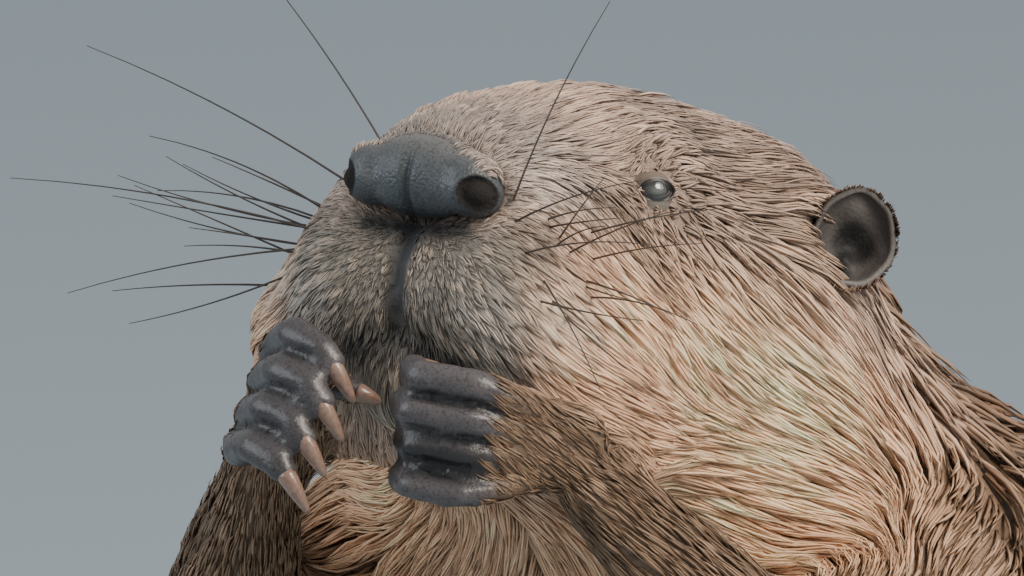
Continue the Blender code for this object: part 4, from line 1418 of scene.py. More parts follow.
def thinned(points, spacing):
    """Which points to keep so that no two are nearer than their spacing."""
    tree = point_tree(points)
    keep = np.ones(len(points), bool)
    for i, p in enumerate(points):
        if keep[i]:
            for _, j, _ in tree.find_range(p, spacing[i]):
                if j > i:
                    keep[j] = False
    return keep


def walk(points, normals, lengths, steps):
    """Paths over the skin along the lie of the coat: (steps + 1, count, 3) places and normals."""
    places, ups = [points], [normals]
    for _ in range(steps):
        lie = flow(points)
        lie = unit(lie - normals * (lie * normals).sum(axis=1, keepdims=True))
        ahead = points + lie * (lengths / steps)[:, None]
        points, normals = np.empty_like(points), np.empty_like(normals)
        for i, place in enumerate(ahead):
            found, _, face, _ = walk_tree.find_nearest(place)
            points[i] = found
            normals[i] = triangle_normals[face]
        places.append(points)
        ups.append(normals)
    return np.array(places), np.array(ups)


# %% Lay tufts round the guides
def lay_tufts(rng, guides, roots, root_normals, width, lift, close, segments):
    """Blades that start at the roots and follow their nearest guide: arrays of points, faces and values."""
    paths, ups = guides["paths"], guides["ups"]
    mine = nearest_guides(guides, roots)
    count, steps = len(roots), len(paths) - 1
    length = rng.uniform(0.72, 1.08, count)
    drift = rng.normal(0, 1, (count, 1))
    rise = guides["lift"][mine] * rng.uniform(0.55, 1.15, count)
    spines, normals = [], []
    for k in range(segments + 1):
        t = k / segments
        along = np.clip(t * length, 0, 1) * steps
        low = np.minimum(along.astype(int), steps - 1)
        part = (along - low)[:, None]
        centre = paths[low, mine] * (1 - part) + paths[low + 1, mine] * part
        up = unit(ups[low, mine] * (1 - part) + ups[low + 1, mine] * part)
        offset = roots - paths[0, mine]
        if k == 0:
            up = root_normals
        keep = 1 - close * t**1.3
        offset = offset - up * (offset * up).sum(axis=1, keepdims=True) * min(1.0, 2 * t)
        height = -0.25 * MM * (1 - t) + rise * lift * math.sin(min(1.0, 1.15 * t + 0.12) * math.pi / 2)
        spines.append(centre + offset * keep + up * height[:, None])
        normals.append(up)
    spines, normals = np.array(spines), np.array(normals)
    ahead = unit(np.gradient(spines, axis=0))
    across = unit(np.cross(ahead, normals))
    bend = np.sin(np.linspace(0, math.pi, segments + 1))[:, None, None]
    wide = width * rng.uniform(0.7, 1.25, count)
    spines = spines + across * bend * drift * wide[None, :, None] * 0.35
    tilt = rng.normal(0, 0.35, count)[None, :, None]
    top = unit(normals + across * tilt)
    across = unit(np.cross(ahead, top))
    corners_now, shares = [], []
    for k in range(segments):
        t = k / segments
        slim = wide * (0.75 + 1.0 * t) if t < 0.34 else wide * 1.09 * (1 - t) ** 0.55 * 1.15
        half = (slim * 0.5)[:, None]
        corners_now += [
            spines[k] - across[k] * half,
            spines[k] + top[k] * half * 0.75,
            spines[k] + across[k] * half,
        ]
        shares += [t] * 3
    corners_now.append(spines[segments])
    shares.append(1.0)
    points = np.stack(corners_now, axis=1)
    points[..., 2] = np.maximum(points[..., 2], 0.4 * MM)
    faces = [(0, 1, 2)]
    for k in range(segments - 1):
        base, onward = 3 * k, 3 * k + 3
        for a, b in ((0, 1), (1, 2), (2, 0)):
            faces += [(base + a, onward + a, onward + b), (base + a, onward + b, base + b)]
    tip, base = 3 * segments, 3 * segments - 3
    faces += [(base + a, tip, base + b) for a, b in ((0, 1), (1, 2), (2, 0))]
    return {
        "points": points, "faces": np.array(faces), "shares": np.array(shares),
        "tone": guides["tone"][mine] + rng.normal(0, 0.4, count), "roots": roots,
        "hairs": 2.5 + wide / (0.45 * MM),
    }


# %% [markdown]
# ## A map for baking
#
# Baking each piece's colour into an image needs a flat map. Each tuft gets one small patch.
# The patch sits where its root is on an unwrap of the skin, so neighbours on the body are neighbours on the
# map and no two tufts far apart share colour. The unwrap is made on a coarse copy of the skin under that
# piece only.


# %% Unwrap for a piece
def map_places(roots):
    """Where roots fall on an unwrap of the skin under them, as numbers from 0 to 1."""
    near = point_tree(np.unique(np.round(roots / (9 * MM)).astype(int), axis=0) * 9 * MM)
    bm = bmesh.new()
    bm.from_mesh(coarse_skin)
    far = [f for f in bm.faces if near.find(f.calc_center_median())[2] > 12 * MM]
    bmesh.ops.delete(bm, geom=far, context="FACES")
    mesh = bpy.data.meshes.new("unwrap")
    bm.to_mesh(mesh)
    bm.free()
    sheet = new_object("unwrap", mesh)
    bpy.ops.object.select_all(action="DESELECT")
    sheet.select_set(True)
    bpy.context.view_layer.objects.active = sheet
    bpy.ops.object.mode_set(mode="EDIT")
    bpy.ops.mesh.select_all(action="SELECT")
    bpy.ops.uv.smart_project(angle_limit=math.radians(66), island_margin=0.004)
    bpy.ops.object.mode_set(mode="OBJECT")
    mesh.calc_loop_triangles()
    count = len(mesh.loop_triangles)
    loops, verts = np.empty(count * 3, int), np.empty(count * 3, int)
    mesh.loop_triangles.foreach_get("loops", loops)
    mesh.loop_triangles.foreach_get("vertices", verts)
    flat = np.empty(len(mesh.loops) * 2)
    mesh.uv_layers.active.uv.foreach_get("vector", flat)
    uv = flat.reshape(-1, 2)[loops.reshape(-1, 3)]
    corner = points_of(mesh)[verts.reshape(-1, 3)]
    tree = BVHTree.FromPolygons(points_of(mesh).tolist(), verts.reshape(-1, 3).tolist())
    placed = np.empty((len(roots), 2))
    for i, root in enumerate(roots):
        found, _, face, _ = tree.find_nearest(root)
        a, b, c = corner[face]
        v0, v1, v2 = b - a, c - a, np.array(found) - a
        d00, d01, d11, d20, d21 = v0 @ v0, v0 @ v1, v1 @ v1, v2 @ v0, v2 @ v1
        size = max(d00 * d11 - d01 * d01, 1e-18)
        v, w = (d11 * d20 - d01 * d21) / size, (d00 * d21 - d01 * d20) / size
        placed[i] = uv[face][0] * (1 - v - w) + uv[face][1] * v + uv[face][2] * w
    bpy.data.objects.remove(sheet)
    return np.clip(placed, 0.002, 0.998)


coarse_skin = one_skin(skin_mesh.copy(), 6 * MM)
print("coarse skin for maps:", len(coarse_skin.polygons), "faces")

# %% [markdown]
# ## Coat material
#
# Colour comes from the markings. It is darkest at a tuft's root and lightest along its back, partly the fur's
# own colour and partly painted shade near the skin. Each blade knows how far across and how far along it a
# point is. A noise read at that place is drawn out along the blade, so one blade looks like a lock of several
# hairs.

# %% Coat material
coat_finish, tree, shader = new_material("coat", Roughness=0.42)
shader.inputs["Specular IOR Level"].default_value = 0.45
strand = node(
    tree, "ShaderNodeCombineXYZ",
    X=attribute(tree, "across").outputs["Fac"], Y=attribute(tree, "along").outputs["Fac"],
)
fine = node(tree, "ShaderNodeTexNoise", Vector=strand.outputs[0], Scale=1.0, Detail=2.0)
vary = node(
    tree, "ShaderNodeMapRange", Value=fine.outputs["Fac"], From_Min=0.3, From_Max=0.7, To_Min=0.8, To_Max=1.18
)
base = attribute(tree, "coat_colour").outputs["Color"]
mixed = node(tree, "ShaderNodeVectorMath", {"operation": "SCALE"}, _0=base)
tree.links.new(vary.outputs["Result"], mixed.inputs["Scale"])
tree.links.new(mixed.outputs[0], shader.inputs["Base Color"])
bump = node(tree, "ShaderNodeBump", Strength=0.5, Distance=0.0002, Height=fine.outputs["Fac"])
tree.links.new(bump.outputs["Normal"], shader.inputs["Normal"])
print("coat material:", len(tree.nodes), "nodes")


# %% Make a piece of coat
PALE = shade("ddbfa6")
MAP_PATCH = 0.003
MOST_TRIANGLES = 200_000


def coat_piece(name, tufts, chosen):
    """One joined mesh of the chosen tufts, with colours and the map for baking."""
    points, faces = tufts["points"][chosen], tufts["faces"]
    count, per = points.shape[:2]
    mesh = bpy.data.meshes.new(name)
    every = (faces[None] + (np.arange(count) * per)[:, None, None]).reshape(-1, 3)
    mesh.vertices.add(count * per)
    mesh.vertices.foreach_set("co", points.ravel())
    mesh.loops.add(every.size)
    mesh.loops.foreach_set("vertex_index", every.ravel())
    mesh.polygons.add(len(every))
    mesh.polygons.foreach_set("loop_start", np.arange(0, every.size, 3))
    mesh.polygons.foreach_set("loop_total", np.full(len(every), 3))
    mesh.update(calc_edges=True)
    roots, shares = tufts["roots"][chosen], tufts["shares"]
    base = marking(roots)[:, None, :]
    tone = np.clip(tufts["tone"][chosen], -1.6, 1.8)
    # darker root end: partly the fur's own colour, partly painted shade near the skin; tone varies at random
    # per tuft
    light = (0.72 + 0.42 * ramp(shares, 0.0, 0.5))[None, :] * (1 + 0.18 * tone)[:, None]
    pale = ramp(tone, 0.2, 1.6)[:, None, None] * 0.25 * ramp(base.mean(axis=2, keepdims=True), 0.06, 0.25)
    colours = base * (1 - pale) + PALE * pale
    colours = np.clip(colours * light[..., None], 0.004, 0.9).reshape(-1, 3)
    paint(mesh, colours)
    across = np.tile([-0.5, 0.0, 0.5], (per - 1) // 3).tolist() + [0.0]
    hairs = tufts["hairs"][chosen][:, None]
    value_layer(mesh, "across", (np.array(across) * hairs + np.arange(count)[:, None] * 7.3).ravel())
    value_layer(mesh, "along", np.tile(shares * 1.6, count))
    uv = map_places(roots)
    local = np.stack([np.array(across) * MAP_PATCH, (shares - 0.5) * MAP_PATCH], axis=1)
    spots = (uv[:, None, :] + local[None]).reshape(-1, 2)
    layer = mesh.uv_layers.new(name="OFBake")
    layer.uv.foreach_set("vector", spots[every.ravel()].ravel())
    mesh.materials.append(coat_finish)
    mesh.shade_smooth()
    piece = new_object(name, mesh)
    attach(piece, "root")
    print(f"{name}: {count} tufts, {len(every)} triangles")
    if len(every) >= MOST_TRIANGLES:
        raise ValueError(f"{name} is too heavy")
    return piece


# %% [markdown]
# ## Head coat
#
# The finest fur is on the face: about 3 mm long on the muzzle and nearly 30 mm on the nape, and least round
# the eyes. Guides stand closest on the muzzle, so its locks are the smallest. The coat is cut in bands, which
# keeps each piece under 200,000 triangles.

# %% Head coat
COAT_SEED = 7
HEAD_GUIDE_TRIES, HEAD_TUFTS = 26000, 38600
rng = np.random.default_rng(COAT_SEED)


def head_spacing(points):
    return (1.5 + 2.1 * ramp(from_muzzle(points), 18, 70)) * MM


def head_length(points):
    away = from_muzzle(points)
    length = 3.2 + 6.0 * ramp(away, 14, 40) + 19.0 * ramp(away, 30, 85)
    for place in EYES:
        length = np.minimum(length, 2.6 + 0.7 * np.maximum(distance_to(points, place) / MM - 5.5, 0))
    return length * MM


def clear_of_eyes(points):
    """False where a tuft would grow inside the lids or the ear's cup."""
    good = np.ones(len(points), bool)
    for sign in SIDES.values():
        centre, outward, long, up = eye_axes(sign)
        flat = (points - centre) / MM
        inside = ((flat @ long) / (EYE_HALF_LENGTH + 1.1)) ** 2 + ((flat @ up) / (EYE_HALF_HEIGHT + 1.3)) ** 2
        good &= (inside > 1) | (flat @ outward < -4)
        ear, _, _, facing = ear_axes(sign)
        behind = (points - ear) @ facing < -3 * MM
        good &= distance_to(points, ear) > np.where(behind, 11.5, 8.5) * MM
    return good


def make_guides(rng, count, weight, spacing, length, steps, lift):
    points, normals = scatter(rng, count, weight)
    keep = thinned(points, spacing(points))
    points, normals = points[keep], normals[keep]
    paths, ups = walk(points, normals, length(points) * rng.uniform(0.75, 1.15, len(points)), steps)
    return {
        "paths": paths, "ups": ups, "tone": rng.normal(0, 0.65, len(points)),
        "lift": (
            coat_depth(points) * rng.uniform(0.55, 1.1, len(points)) * lift * (1 - 0.7 * on_arms(points, 1.5))
        ),
    }


def clear_of_ears(roots, guides):
    """False where a tuft would cross an ear's mouth."""
    good = np.ones(len(roots), bool)
    mine = nearest_guides(guides, roots)
    for ear in EARS:
        crossing = (np.linalg.norm(guides["paths"] - ear, axis=2) < 9.5 * MM).any(axis=0)
        good &= ~crossing[mine]
    return good


muzzle_weight = 1 + 2.2 * (1 - ramp(from_muzzle(middles), 25, 70))
head_weight = head_share * furred * muzzle_weight
head_guides = make_guides(rng, HEAD_GUIDE_TRIES, head_weight, head_spacing, head_length, 5, 0.9)
roots, root_normals = scatter(rng, HEAD_TUFTS, head_weight)
good = clear_of_eyes(roots) & clear_of_ears(roots, head_guides)
roots, root_normals = roots[good], root_normals[good]
widths = (0.42 + 0.42 * ramp(from_muzzle(roots), 18, 80)) * MM
head_tufts = lay_tufts(rng, head_guides, roots, root_normals, widths, 1.0, 0.82, 4)
print(head_guides["paths"].shape[1], "guides and", len(roots), "tufts on the head")

# %% Head pieces
place = in_head(head_tufts["roots"])
bands = np.digitize(place[:, 1], [-92, -62, -34])
for band, name in enumerate(("nape", "cheek", "brow", "muzzle")):
    for side, sign in SIDES.items():
        chosen = np.flatnonzero((bands == band) & (place[:, 0] * sign >= 0))
        coat_piece(f"coat_{name}_{side}", head_tufts, chosen)

# %% [markdown]
# ## Short fur on the nose and the ears
#
# A few millimetres of fur run over the top of the bare nose pad and over the backs of the ears. They grow on
# pieces other than the skin, so their guides aren't walked. On the pad they are dropped straight down, and on
# the ear they are arcs over its ellipsoid.


# %% Short fur that runs over the top of the nose pad
def nose_fur(rng, guide_count, tuft_count):
    """Tufts that start on the pad's upper side and lie back on to the bridge, sparse in front."""
    side = rng.uniform(-21, 21, guide_count)
    forward = -5.5 - 11 * rng.uniform(0, 1, guide_count) ** 0.8 + 0.32 * np.maximum(np.abs(side) - 6, 0)
    length = rng.uniform(2.8, 4.8, guide_count)
    paths, ups = [], []
    both = tree_of([nose_mesh, skin_mesh])
    down = Vector(head_place(0, 0, -1) - head_place(0, 0, 0)).normalized()
    missed = Vector((0, 0, 9)), Vector((0, 0, 1))
    for k in range(4):
        now_side, now_forward = side * (1 + 0.02 * k), forward - length * k / 3
        hits = [both.ray_cast(Vector(head_place(a, b, 40)), down)[:2] for a, b in zip(now_side, now_forward)]
        hits = [missed if hit[0] is None else hit for hit in hits]
        paths.append(np.array([hit[0] for hit in hits]))
        ups.append(np.array([hit[1] for hit in hits]))
    paths, ups = np.array(paths), np.array(ups)
    # A guide with a long step fell past the rim, and is left out.
    on_pad = np.linalg.norm(np.diff(paths, axis=0), axis=2).max(axis=0) < 3 * MM
    on_pad &= np.linalg.norm(paths[0] - head_place(0, -12, 0), axis=1) < 32 * MM
    paths, ups = paths[:, on_pad], ups[:, on_pad]
    guide_count = paths.shape[1]
    guides = {
        "paths": paths, "ups": unit(ups), "tone": rng.normal(0, 0.5, guide_count),
        "lift": rng.uniform(0.6, 1.2, guide_count) * MM,
    }
    chosen = rng.integers(0, guide_count, tuft_count)
    spread = rng.normal(0, 0.3 * MM, (tuft_count, 3))
    normals = guides["ups"][0][chosen]
    spread -= normals * (spread * normals).sum(axis=1, keepdims=True)
    return lay_tufts(rng, guides, guides["paths"][0][chosen] + spread, normals, 0.42 * MM, 1.0, 0.5, 3)


tufts = nose_fur(rng, guide_count=1100, tuft_count=3400)
coat_piece("coat_nose", tufts, np.arange(len(tufts["roots"])))

# %% Short fur on the backs of the ears
def ear_fur(rng, sign, guide_count, tuft_count):
    """Tufts on the ear's outer side that lie towards its rim and reach a little past it."""
    centre, upright, across, facing = ear_axes(sign)
    angle, turn = rng.uniform(0.8, 1.56, guide_count), rng.uniform(0, 2 * math.pi, guide_count)
    reach = rng.uniform(0.26, 0.45, guide_count)
    paths, ups = [], []
    for k in range(4):
        now = angle + reach * k / 3
        parts = (np.sin(now) * np.cos(turn), np.sin(now) * np.sin(turn), -np.cos(now))
        place, normal = 0, 0
        for axis, radius, part in zip((upright, across, facing), EAR_SIZE, parts):
            place = place + axis * (part * radius)[:, None]
            normal = normal + axis * (part / radius)[:, None]
        paths.append(centre + place * MM)
        ups.append(unit(normal))
    guides = {
        "paths": np.array(paths), "ups": np.array(ups), "tone": rng.normal(0, 0.5, guide_count),
        "lift": rng.uniform(0.5, 1.1, guide_count) * MM,
    }
    chosen = rng.integers(0, guide_count, tuft_count)
    roots = guides["paths"][0][chosen] + rng.normal(0, 0.35 * MM, (tuft_count, 3))
    return lay_tufts(rng, guides, roots, guides["ups"][0][chosen], 0.42 * MM, 1.0, 0.5, 3)


for side, sign in SIDES.items():
    tufts = ear_fur(rng, sign, guide_count=420, tuft_count=1300)
    coat_piece(f"coat_ear_{side}", tufts, np.arange(len(tufts["roots"])))


# %% [markdown]
# ## Body coat
#
# Guard hairs on the trunk are several times longer than on the face and gather in broader locks. They shorten
# along arms and legs, down to a few millimetres where fur ends on the wrist, the ankle and the tail's root.

# %% Body coat
BODY_GUIDE_TRIES, BODY_TUFTS = 30000, 34800


def bare_distance(points):
    """How far, in millimetres, it is to the nearest wrist, ankle or tail paddle."""
    far = np.full(len(points), 1e3)
    for place, radius in [(p, 14) for p in WRISTS] + [(p, 20) for p in ANKLES] + [(TAIL_START, 40)]:
        far = np.minimum(far, np.maximum(distance_to(points, place) / MM - radius, 0))
    return far


def body_size(points):
    """0 where fur is finest, 1 on the open trunk."""
    size = ramp(bare_distance(points), 0, 150) * 0.9 + 0.1
    for (start, end, reach), least in zip(LIMB_LINES, (0.6, 0.27, 0.6, 0.27, 0.35, 0.35)):
        gap = to_line(points, start, end) / reach
        size = np.minimum(size, least + (1 - least) * ramp(gap, 0.9, 2.2))
    local = in_head(points)
    return np.minimum(size, 0.5 + 0.5 * ramp(-local[:, 1], 120, 220))


body_weight = (1 - head_share) * furred / (0.12 + body_size(middles)) ** 1.5
body_weight = body_weight * (1 + 0.8 * on_arms(middles, 1.5))
body_guides = make_guides(
    rng, BODY_GUIDE_TRIES, body_weight, lambda p: (2.2 + 4.3 * body_size(p)) * MM,
    lambda p: (5 + 33 * body_size(p)) * MM, 4, 0.95,
)
roots, root_normals = scatter(rng, BODY_TUFTS, body_weight)
widths = (0.7 + 1.9 * body_size(roots)) * (1 - 0.35 * on_arms(roots, 1.5)) * MM
closing = 0.8 - 0.4 * on_arms(roots, 1.5)[:, None]
body_tufts = lay_tufts(rng, body_guides, roots, root_normals, widths, 1.0, closing, 3)
print(body_guides["paths"].shape[1], "guides and", len(roots), "tufts on the body")

# %% Body pieces
height = body_tufts["roots"][:, 2]
bands = np.digitize(height, [0.075, 0.15, 0.235, 0.29])
for band, name in enumerate(("foot", "haunch", "flank", "breast", "shoulder")):
    for side, sign in SIDES.items():
        chosen = np.flatnonzero((bands == band) & (body_tufts["roots"][:, 0] * sign >= 0))
        coat_piece(f"coat_{name}_{side}", body_tufts, chosen)

# %% [markdown]
# ## Whiskers
#
# Whiskers grow in rows from the pads beside the nose and taper to a fine tip. Each is a line of a few points.
# A Geometry Nodes tree makes them all into round, tapering rods, so the thickness is one input.


# %% Tree for whiskers
def geometry_group(name, inputs):
    tree = bpy.data.node_groups.new(name, "GeometryNodeTree")
    tree.interface.new_socket("Geometry", in_out="INPUT", socket_type="NodeSocketGeometry")
    for label, (kind, value) in inputs.items():
        socket = tree.interface.new_socket(label, in_out="INPUT", socket_type=kind)
        if value is not None:
            socket.default_value = value
    tree.interface.new_socket("Geometry", in_out="OUTPUT", socket_type="NodeSocketGeometry")
    return tree, tree.nodes.new("NodeGroupInput"), tree.nodes.new("NodeGroupOutput")


def run_tree(holder, tree, values):
    """Adds the tree as a modifier, sets its inputs by name and returns what it makes as a mesh."""
    modifier = holder.modifiers.new(tree.name, "NODES")
    modifier.node_group = tree
    for item in tree.interface.items_tree:
        if item.item_type == "SOCKET" and item.in_out == "INPUT" and item.name in values:
            modifier[item.identifier] = values[item.name]
    graph = bpy.context.evaluated_depsgraph_get()
    made = bpy.data.meshes.new_from_object(holder.evaluated_get(graph))
    holder.modifiers.remove(modifier)
    bpy.data.objects.remove(holder)
    return made


whisker_finish, tree, shader = new_material("whisker", Roughness=0.35, Base_Color=(*shade("3f3630"), 1))
rods, given, result = geometry_group(
    "tapering rods",
    {
        "Root half thickness": (FLOAT, 0.33 * MM),
        "Tip half thickness": (FLOAT, 0.11 * MM),
        "Steps": ("NodeSocketInt", 14),
        "Finish": ("NodeSocketMaterial", None),
    },
)
smooth_line = node(
    rods, "GeometryNodeResampleCurve", Curve=given.outputs["Geometry"], Count=given.outputs["Steps"],
)
share = node(rods, "GeometryNodeSplineParameter")
thick = node(
    rods, "ShaderNodeMapRange", Value=share.outputs["Factor"],
    To_Min=given.outputs["Root half thickness"], To_Max=given.outputs["Tip half thickness"],
)
sized = node(
    rods, "GeometryNodeSetCurveRadius", Curve=smooth_line.outputs["Curve"], Radius=thick.outputs["Result"],
)
outline = node(rods, "GeometryNodeCurvePrimitiveCircle", Resolution=6, Radius=1.0)
rod_mesh = node(
    rods, "GeometryNodeCurveToMesh", Curve=sized.outputs["Curve"], Profile_Curve=outline.outputs["Curve"],
    Fill_Caps=True, Scale=thick.outputs["Result"],
)
smooth = node(rods, "GeometryNodeSetShadeSmooth", Geometry=rod_mesh.outputs["Mesh"])
real = node(rods, "GeometryNodeRealizeInstances", Geometry=smooth.outputs["Geometry"])
dressed = node(
    rods, "GeometryNodeSetMaterial", Geometry=real.outputs["Geometry"], Material=given.outputs["Finish"]
)
rods.links.new(dressed.outputs["Geometry"], result.inputs["Geometry"])

# %% Whiskers
WHISKER_SEED = 21
# Side, how far back and how high the root is, direction (left, forward, up), length: the eight longest.
LONG_WHISKERS = (
    ("left", -14, 5, (0.32, 0.10, 0.94), 54), ("left", -13, -3, (0.80, 0.45, 0.14), 58),
    ("left", -13, -11, (0.85, 0.50, 0.00), 60), ("left", -16, -18, (0.70, 0.45, -0.55), 54),
    ("right", -13, 11, (-0.70, 0.19, 0.68), 62), ("right", -16, 3, (-0.94, 0.18, 0.29), 80),
    ("right", -14, -12, (-0.985, 0.145, 0.01), 84), ("right", -16, -18, (-0.92, 0.13, -0.32), 62),
)


def whisker_line(side, forward, up, direction, length, arch):
    sign = SIDES[side]
    start = Vector(head_place(sign * 90, forward, up))
    root, _, _, _ = zone_trees["fur"].ray_cast(start, Vector(LEFT * -sign))
    along = Vector(HEAD_AXES.T @ np.array(direction)).normalized()
    aside = along.cross(Vector((0, 0, 1))).normalized()
    rise = aside.cross(along)
    made = []
    for t in np.linspace(0, 1, 7):
        made.append(root + (along * (t * (length + 4) - 3) + rise * arch * length * 4 * t * (1 - t)) * MM)
    return made


rng = np.random.default_rng(WHISKER_SEED)
lines = [whisker_line(*row, 0.028) for row in LONG_WHISKERS]
for side, sign in SIDES.items():
    for i in range(13):
        up = rng.uniform(-26, 2)
        forward = rng.uniform(-30, -15)
        spread = np.array((sign * 0.8, 0.42, 0.02 * (up + 12)))
        direction = unit(spread + rng.normal(0, 0.14, 3))
        length, sag = rng.uniform(24, 52), rng.uniform(-0.03, 0.06)
        lines.append(whisker_line(side, forward, up, direction, length, sag))
strings = bpy.data.curves.new("whisker lines", "CURVE")
strings.dimensions = "3D"
for line in lines:
    spline = strings.splines.new("POLY")
    spline.points.add(len(line) - 1)
    for point, place in zip(spline.points, line):
        point.co = (*place, 1)
whisker_mesh = run_tree(new_object("whisker holder", strings), rods, {"Finish": whisker_finish})
whiskers = new_object("whiskers", whisker_mesh)
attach(whiskers, "root")
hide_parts(*[f"whisker_{side}_{i}" for side in SIDES for i in range(1, 5)])
print(len(lines), "whiskers,", len(whisker_mesh.polygons), "faces")

# %% [markdown]
# ## Tail scales
#
# The paddle is covered with small six-sided scales in staggered rows, a little domed, with dark skin
# between. They follow a rule on a curved surface, so Geometry Nodes lay them: a grid of points is dropped
# straight down or pushed straight up on to the paddle, and each point that lands gets a scale that stands
# along the normal.


# %% Tree for scales
def scale_shape():
    """A low six-sided dome, one unit wide and long."""
    bm = bmesh.new()
    rows = []
    for radius, height in ((0.5, -0.3), (0.44, 0.5), (0.2, 1.0)):
        corners = [(radius * math.cos(math.pi * i / 3), radius * math.sin(math.pi * i / 3)) for i in range(6)]
        rows.append([bm.verts.new((*corner, height)) for corner in corners])
    for near, far in zip(rows, rows[1:]):
        for i in range(6):
            j = (i + 1) % 6
            bm.faces.new((near[i], near[j], far[j], far[i]))
    bm.faces.new(rows[-1])
    bmesh.ops.triangulate(bm, faces=bm.faces)
    return mesh_from(bm, "scale")


laid, given, result = geometry_group(
    "staggered scales",
    {
        "Scale": ("NodeSocketObject", None), "Rows": ("NodeSocketInt", 68), "Columns": ("NodeSocketInt", 26),
        "Row pitch": (FLOAT, 4.0 * MM), "Column pitch": (FLOAT, 5.2 * MM),
        "Start height": (FLOAT, 0.1), "Down": (FLOAT, 1.0), "Middle": (VECTOR, None),
        "Size": (VECTOR, None), "Seed": ("NodeSocketInt", 3), "Finish": ("NodeSocketMaterial", None),
    },
)
wide = math_node(laid, "MULTIPLY", given.outputs["Columns"], given.outputs["Column pitch"])
long = math_node(laid, "MULTIPLY", given.outputs["Rows"], given.outputs["Row pitch"])
grid = node(
    laid, "GeometryNodeMeshGrid", Size_X=wide, Size_Y=long, Vertices_X=given.outputs["Columns"],
    Vertices_Y=given.outputs["Rows"],
)
index = node(laid, "GeometryNodeInputIndex").outputs[0]
row = math_node(laid, "MODULO", index, given.outputs["Rows"])
odd = math_node(laid, "MODULO", row, 2.0)
shift = math_node(laid, "MULTIPLY", odd, math_node(laid, "MULTIPLY", given.outputs["Column pitch"], 0.5))
loose = node(laid, "FunctionNodeRandomValue", {"data_type": "FLOAT_VECTOR"}, Seed=given.outputs["Seed"])
loose.inputs["Min"].default_value = (-0.35 * MM, -0.3 * MM, 0)
loose.inputs["Max"].default_value = (0.35 * MM, 0.3 * MM, 0)
lift = node(laid, "ShaderNodeCombineXYZ", X=shift, Z=given.outputs["Start height"])
offset = node(
    laid, "ShaderNodeVectorMath", {"operation": "ADD"}, _0=lift.outputs[0], _1=given.outputs["Middle"],
)
offset = node(laid, "ShaderNodeVectorMath", {"operation": "ADD"}, _0=offset.outputs[0], _1=loose.outputs[0])
spread = node(laid, "GeometryNodeSetPosition", Geometry=grid.outputs["Mesh"], Offset=offset.outputs[0])
way = node(laid, "ShaderNodeCombineXYZ", Z=math_node(laid, "MULTIPLY", given.outputs["Down"], -1.0))
land = node(
    laid, "GeometryNodeRaycast", Target_Geometry=given.outputs["Geometry"], Ray_Direction=way.outputs[0],
    Ray_Length=0.3,
)
steep = node(laid, "ShaderNodeSeparateXYZ", Vector=land.outputs["Hit Normal"]).outputs["Z"]
steep = math_node(laid, "LESS_THAN", math_node(laid, "MULTIPLY", steep, given.outputs["Down"]), 0.35)
missed = node(laid, "FunctionNodeBooleanMath", {"operation": "NOT"}, _0=land.outputs["Is Hit"])
gone = node(laid, "FunctionNodeBooleanMath", {"operation": "OR"}, _0=missed.outputs[0], _1=steep)
sparse = node(
    laid, "GeometryNodeDeleteGeometry", {"domain": "POINT"}, Geometry=spread.outputs["Geometry"],
    Selection=gone.outputs[0],
)
kept_hit = node(
    laid, "GeometryNodeStoreNamedAttribute", {"data_type": "FLOAT_VECTOR", "domain": "POINT"},
    Geometry=sparse.outputs["Geometry"], Name="stands", Value=land.outputs["Hit Normal"],
)
on_skin = node(
    laid, "GeometryNodeSetPosition", Geometry=kept_hit.outputs["Geometry"],
    Position=land.outputs["Hit Position"],
)
stands = node(laid, "GeometryNodeInputNamedAttribute", {"data_type": "FLOAT_VECTOR"}, Name="stands")
turn = node(laid, "FunctionNodeAlignRotationToVector", {"axis": "Z"}, Vector=stands.outputs["Attribute"])
one = node(laid, "GeometryNodeObjectInfo", Object=given.outputs["Scale"])
many = node(
    laid, "GeometryNodeInstanceOnPoints",
    Points=on_skin.outputs["Geometry"], Instance=one.outputs["Geometry"],
    Rotation=turn.outputs["Rotation"], Scale=given.outputs["Size"],
)
real = node(laid, "GeometryNodeRealizeInstances", Geometry=many.outputs["Instances"])
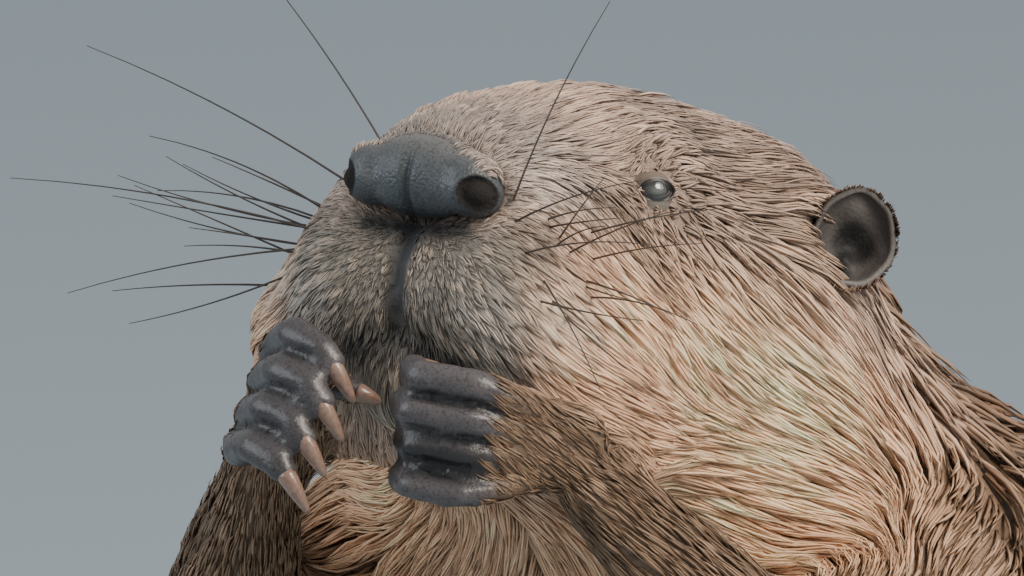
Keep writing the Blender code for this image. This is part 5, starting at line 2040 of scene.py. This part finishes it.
dressed = node(
    laid, "GeometryNodeSetMaterial", Geometry=real.outputs["Geometry"], Material=given.outputs["Finish"],
)
laid.links.new(dressed.outputs["Geometry"], result.inputs["Geometry"])

# %% Lay the scales
scale_finish, tree, shader = new_material("tail scales", Roughness=0.42)
place = node(tree, "ShaderNodeTexCoord").outputs["Object"]
patchy = node(tree, "ShaderNodeTexNoise", Vector=place, Scale=60.0, Detail=5.0)
tint = node(tree, "ShaderNodeValToRGB", Fac=patchy.outputs["Fac"])
tint.color_ramp.elements[0].position, tint.color_ramp.elements[1].position = 0.3, 0.72
tint.color_ramp.elements[0].color = (*shade("35302f"), 1)
tint.color_ramp.elements[1].color = (*shade("5d5855"), 1)
tree.links.new(tint.outputs["Color"], shader.inputs["Base Color"])
grain = node(tree, "ShaderNodeTexNoise", Vector=place, Scale=1500.0, Detail=2.0)
bump = node(tree, "ShaderNodeBump", Strength=0.3, Distance=0.0002, Height=grain.outputs["Fac"])
tree.links.new(bump.outputs["Normal"], shader.inputs["Normal"])

shape = new_object("one scale", scale_shape())
middle = Vector(body_place(0, TAIL_ROOT - TAIL_LENGTH / 2, 0)) + Vector((0, 6 * MM, 0))
for name, start, down, size in (
    ("tail_scales_top", 0.1, 1.0, (5.3 * MM, 4.4 * MM, 0.55 * MM)),
    ("tail_scales_under", -0.05, -1.0, (5.3 * MM, 4.4 * MM, 0.45 * MM)),
):
    holder = new_object("paddle", paddle())
    mesh = run_tree(
        holder, laid,
        {
            "Scale": shape, "Start height": start, "Down": down, "Middle": middle,
            "Size": Vector(size), "Finish": scale_finish,
        },
    )
    mesh.shade_smooth()
    scales = new_object(name, mesh)
    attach(scales, "root")
    print(name, len(mesh.polygons), "faces")
bpy.data.objects.remove(shape)

# %% [markdown]
# ## Size
#
# The last cell prints the visible size of what is shown; the solids' size was printed at the start.

# %% Size and finish
low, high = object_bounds()
({"cad": CAD_BOX and [[round(v, 5) for v in corner] for corner in CAD_BOX],
           "visual": [[round(v, 5) for v in corner] for corner in (low, high)]})
print("visual box:", [[round(v, 4) for v in corner] for corner in (low, high)])
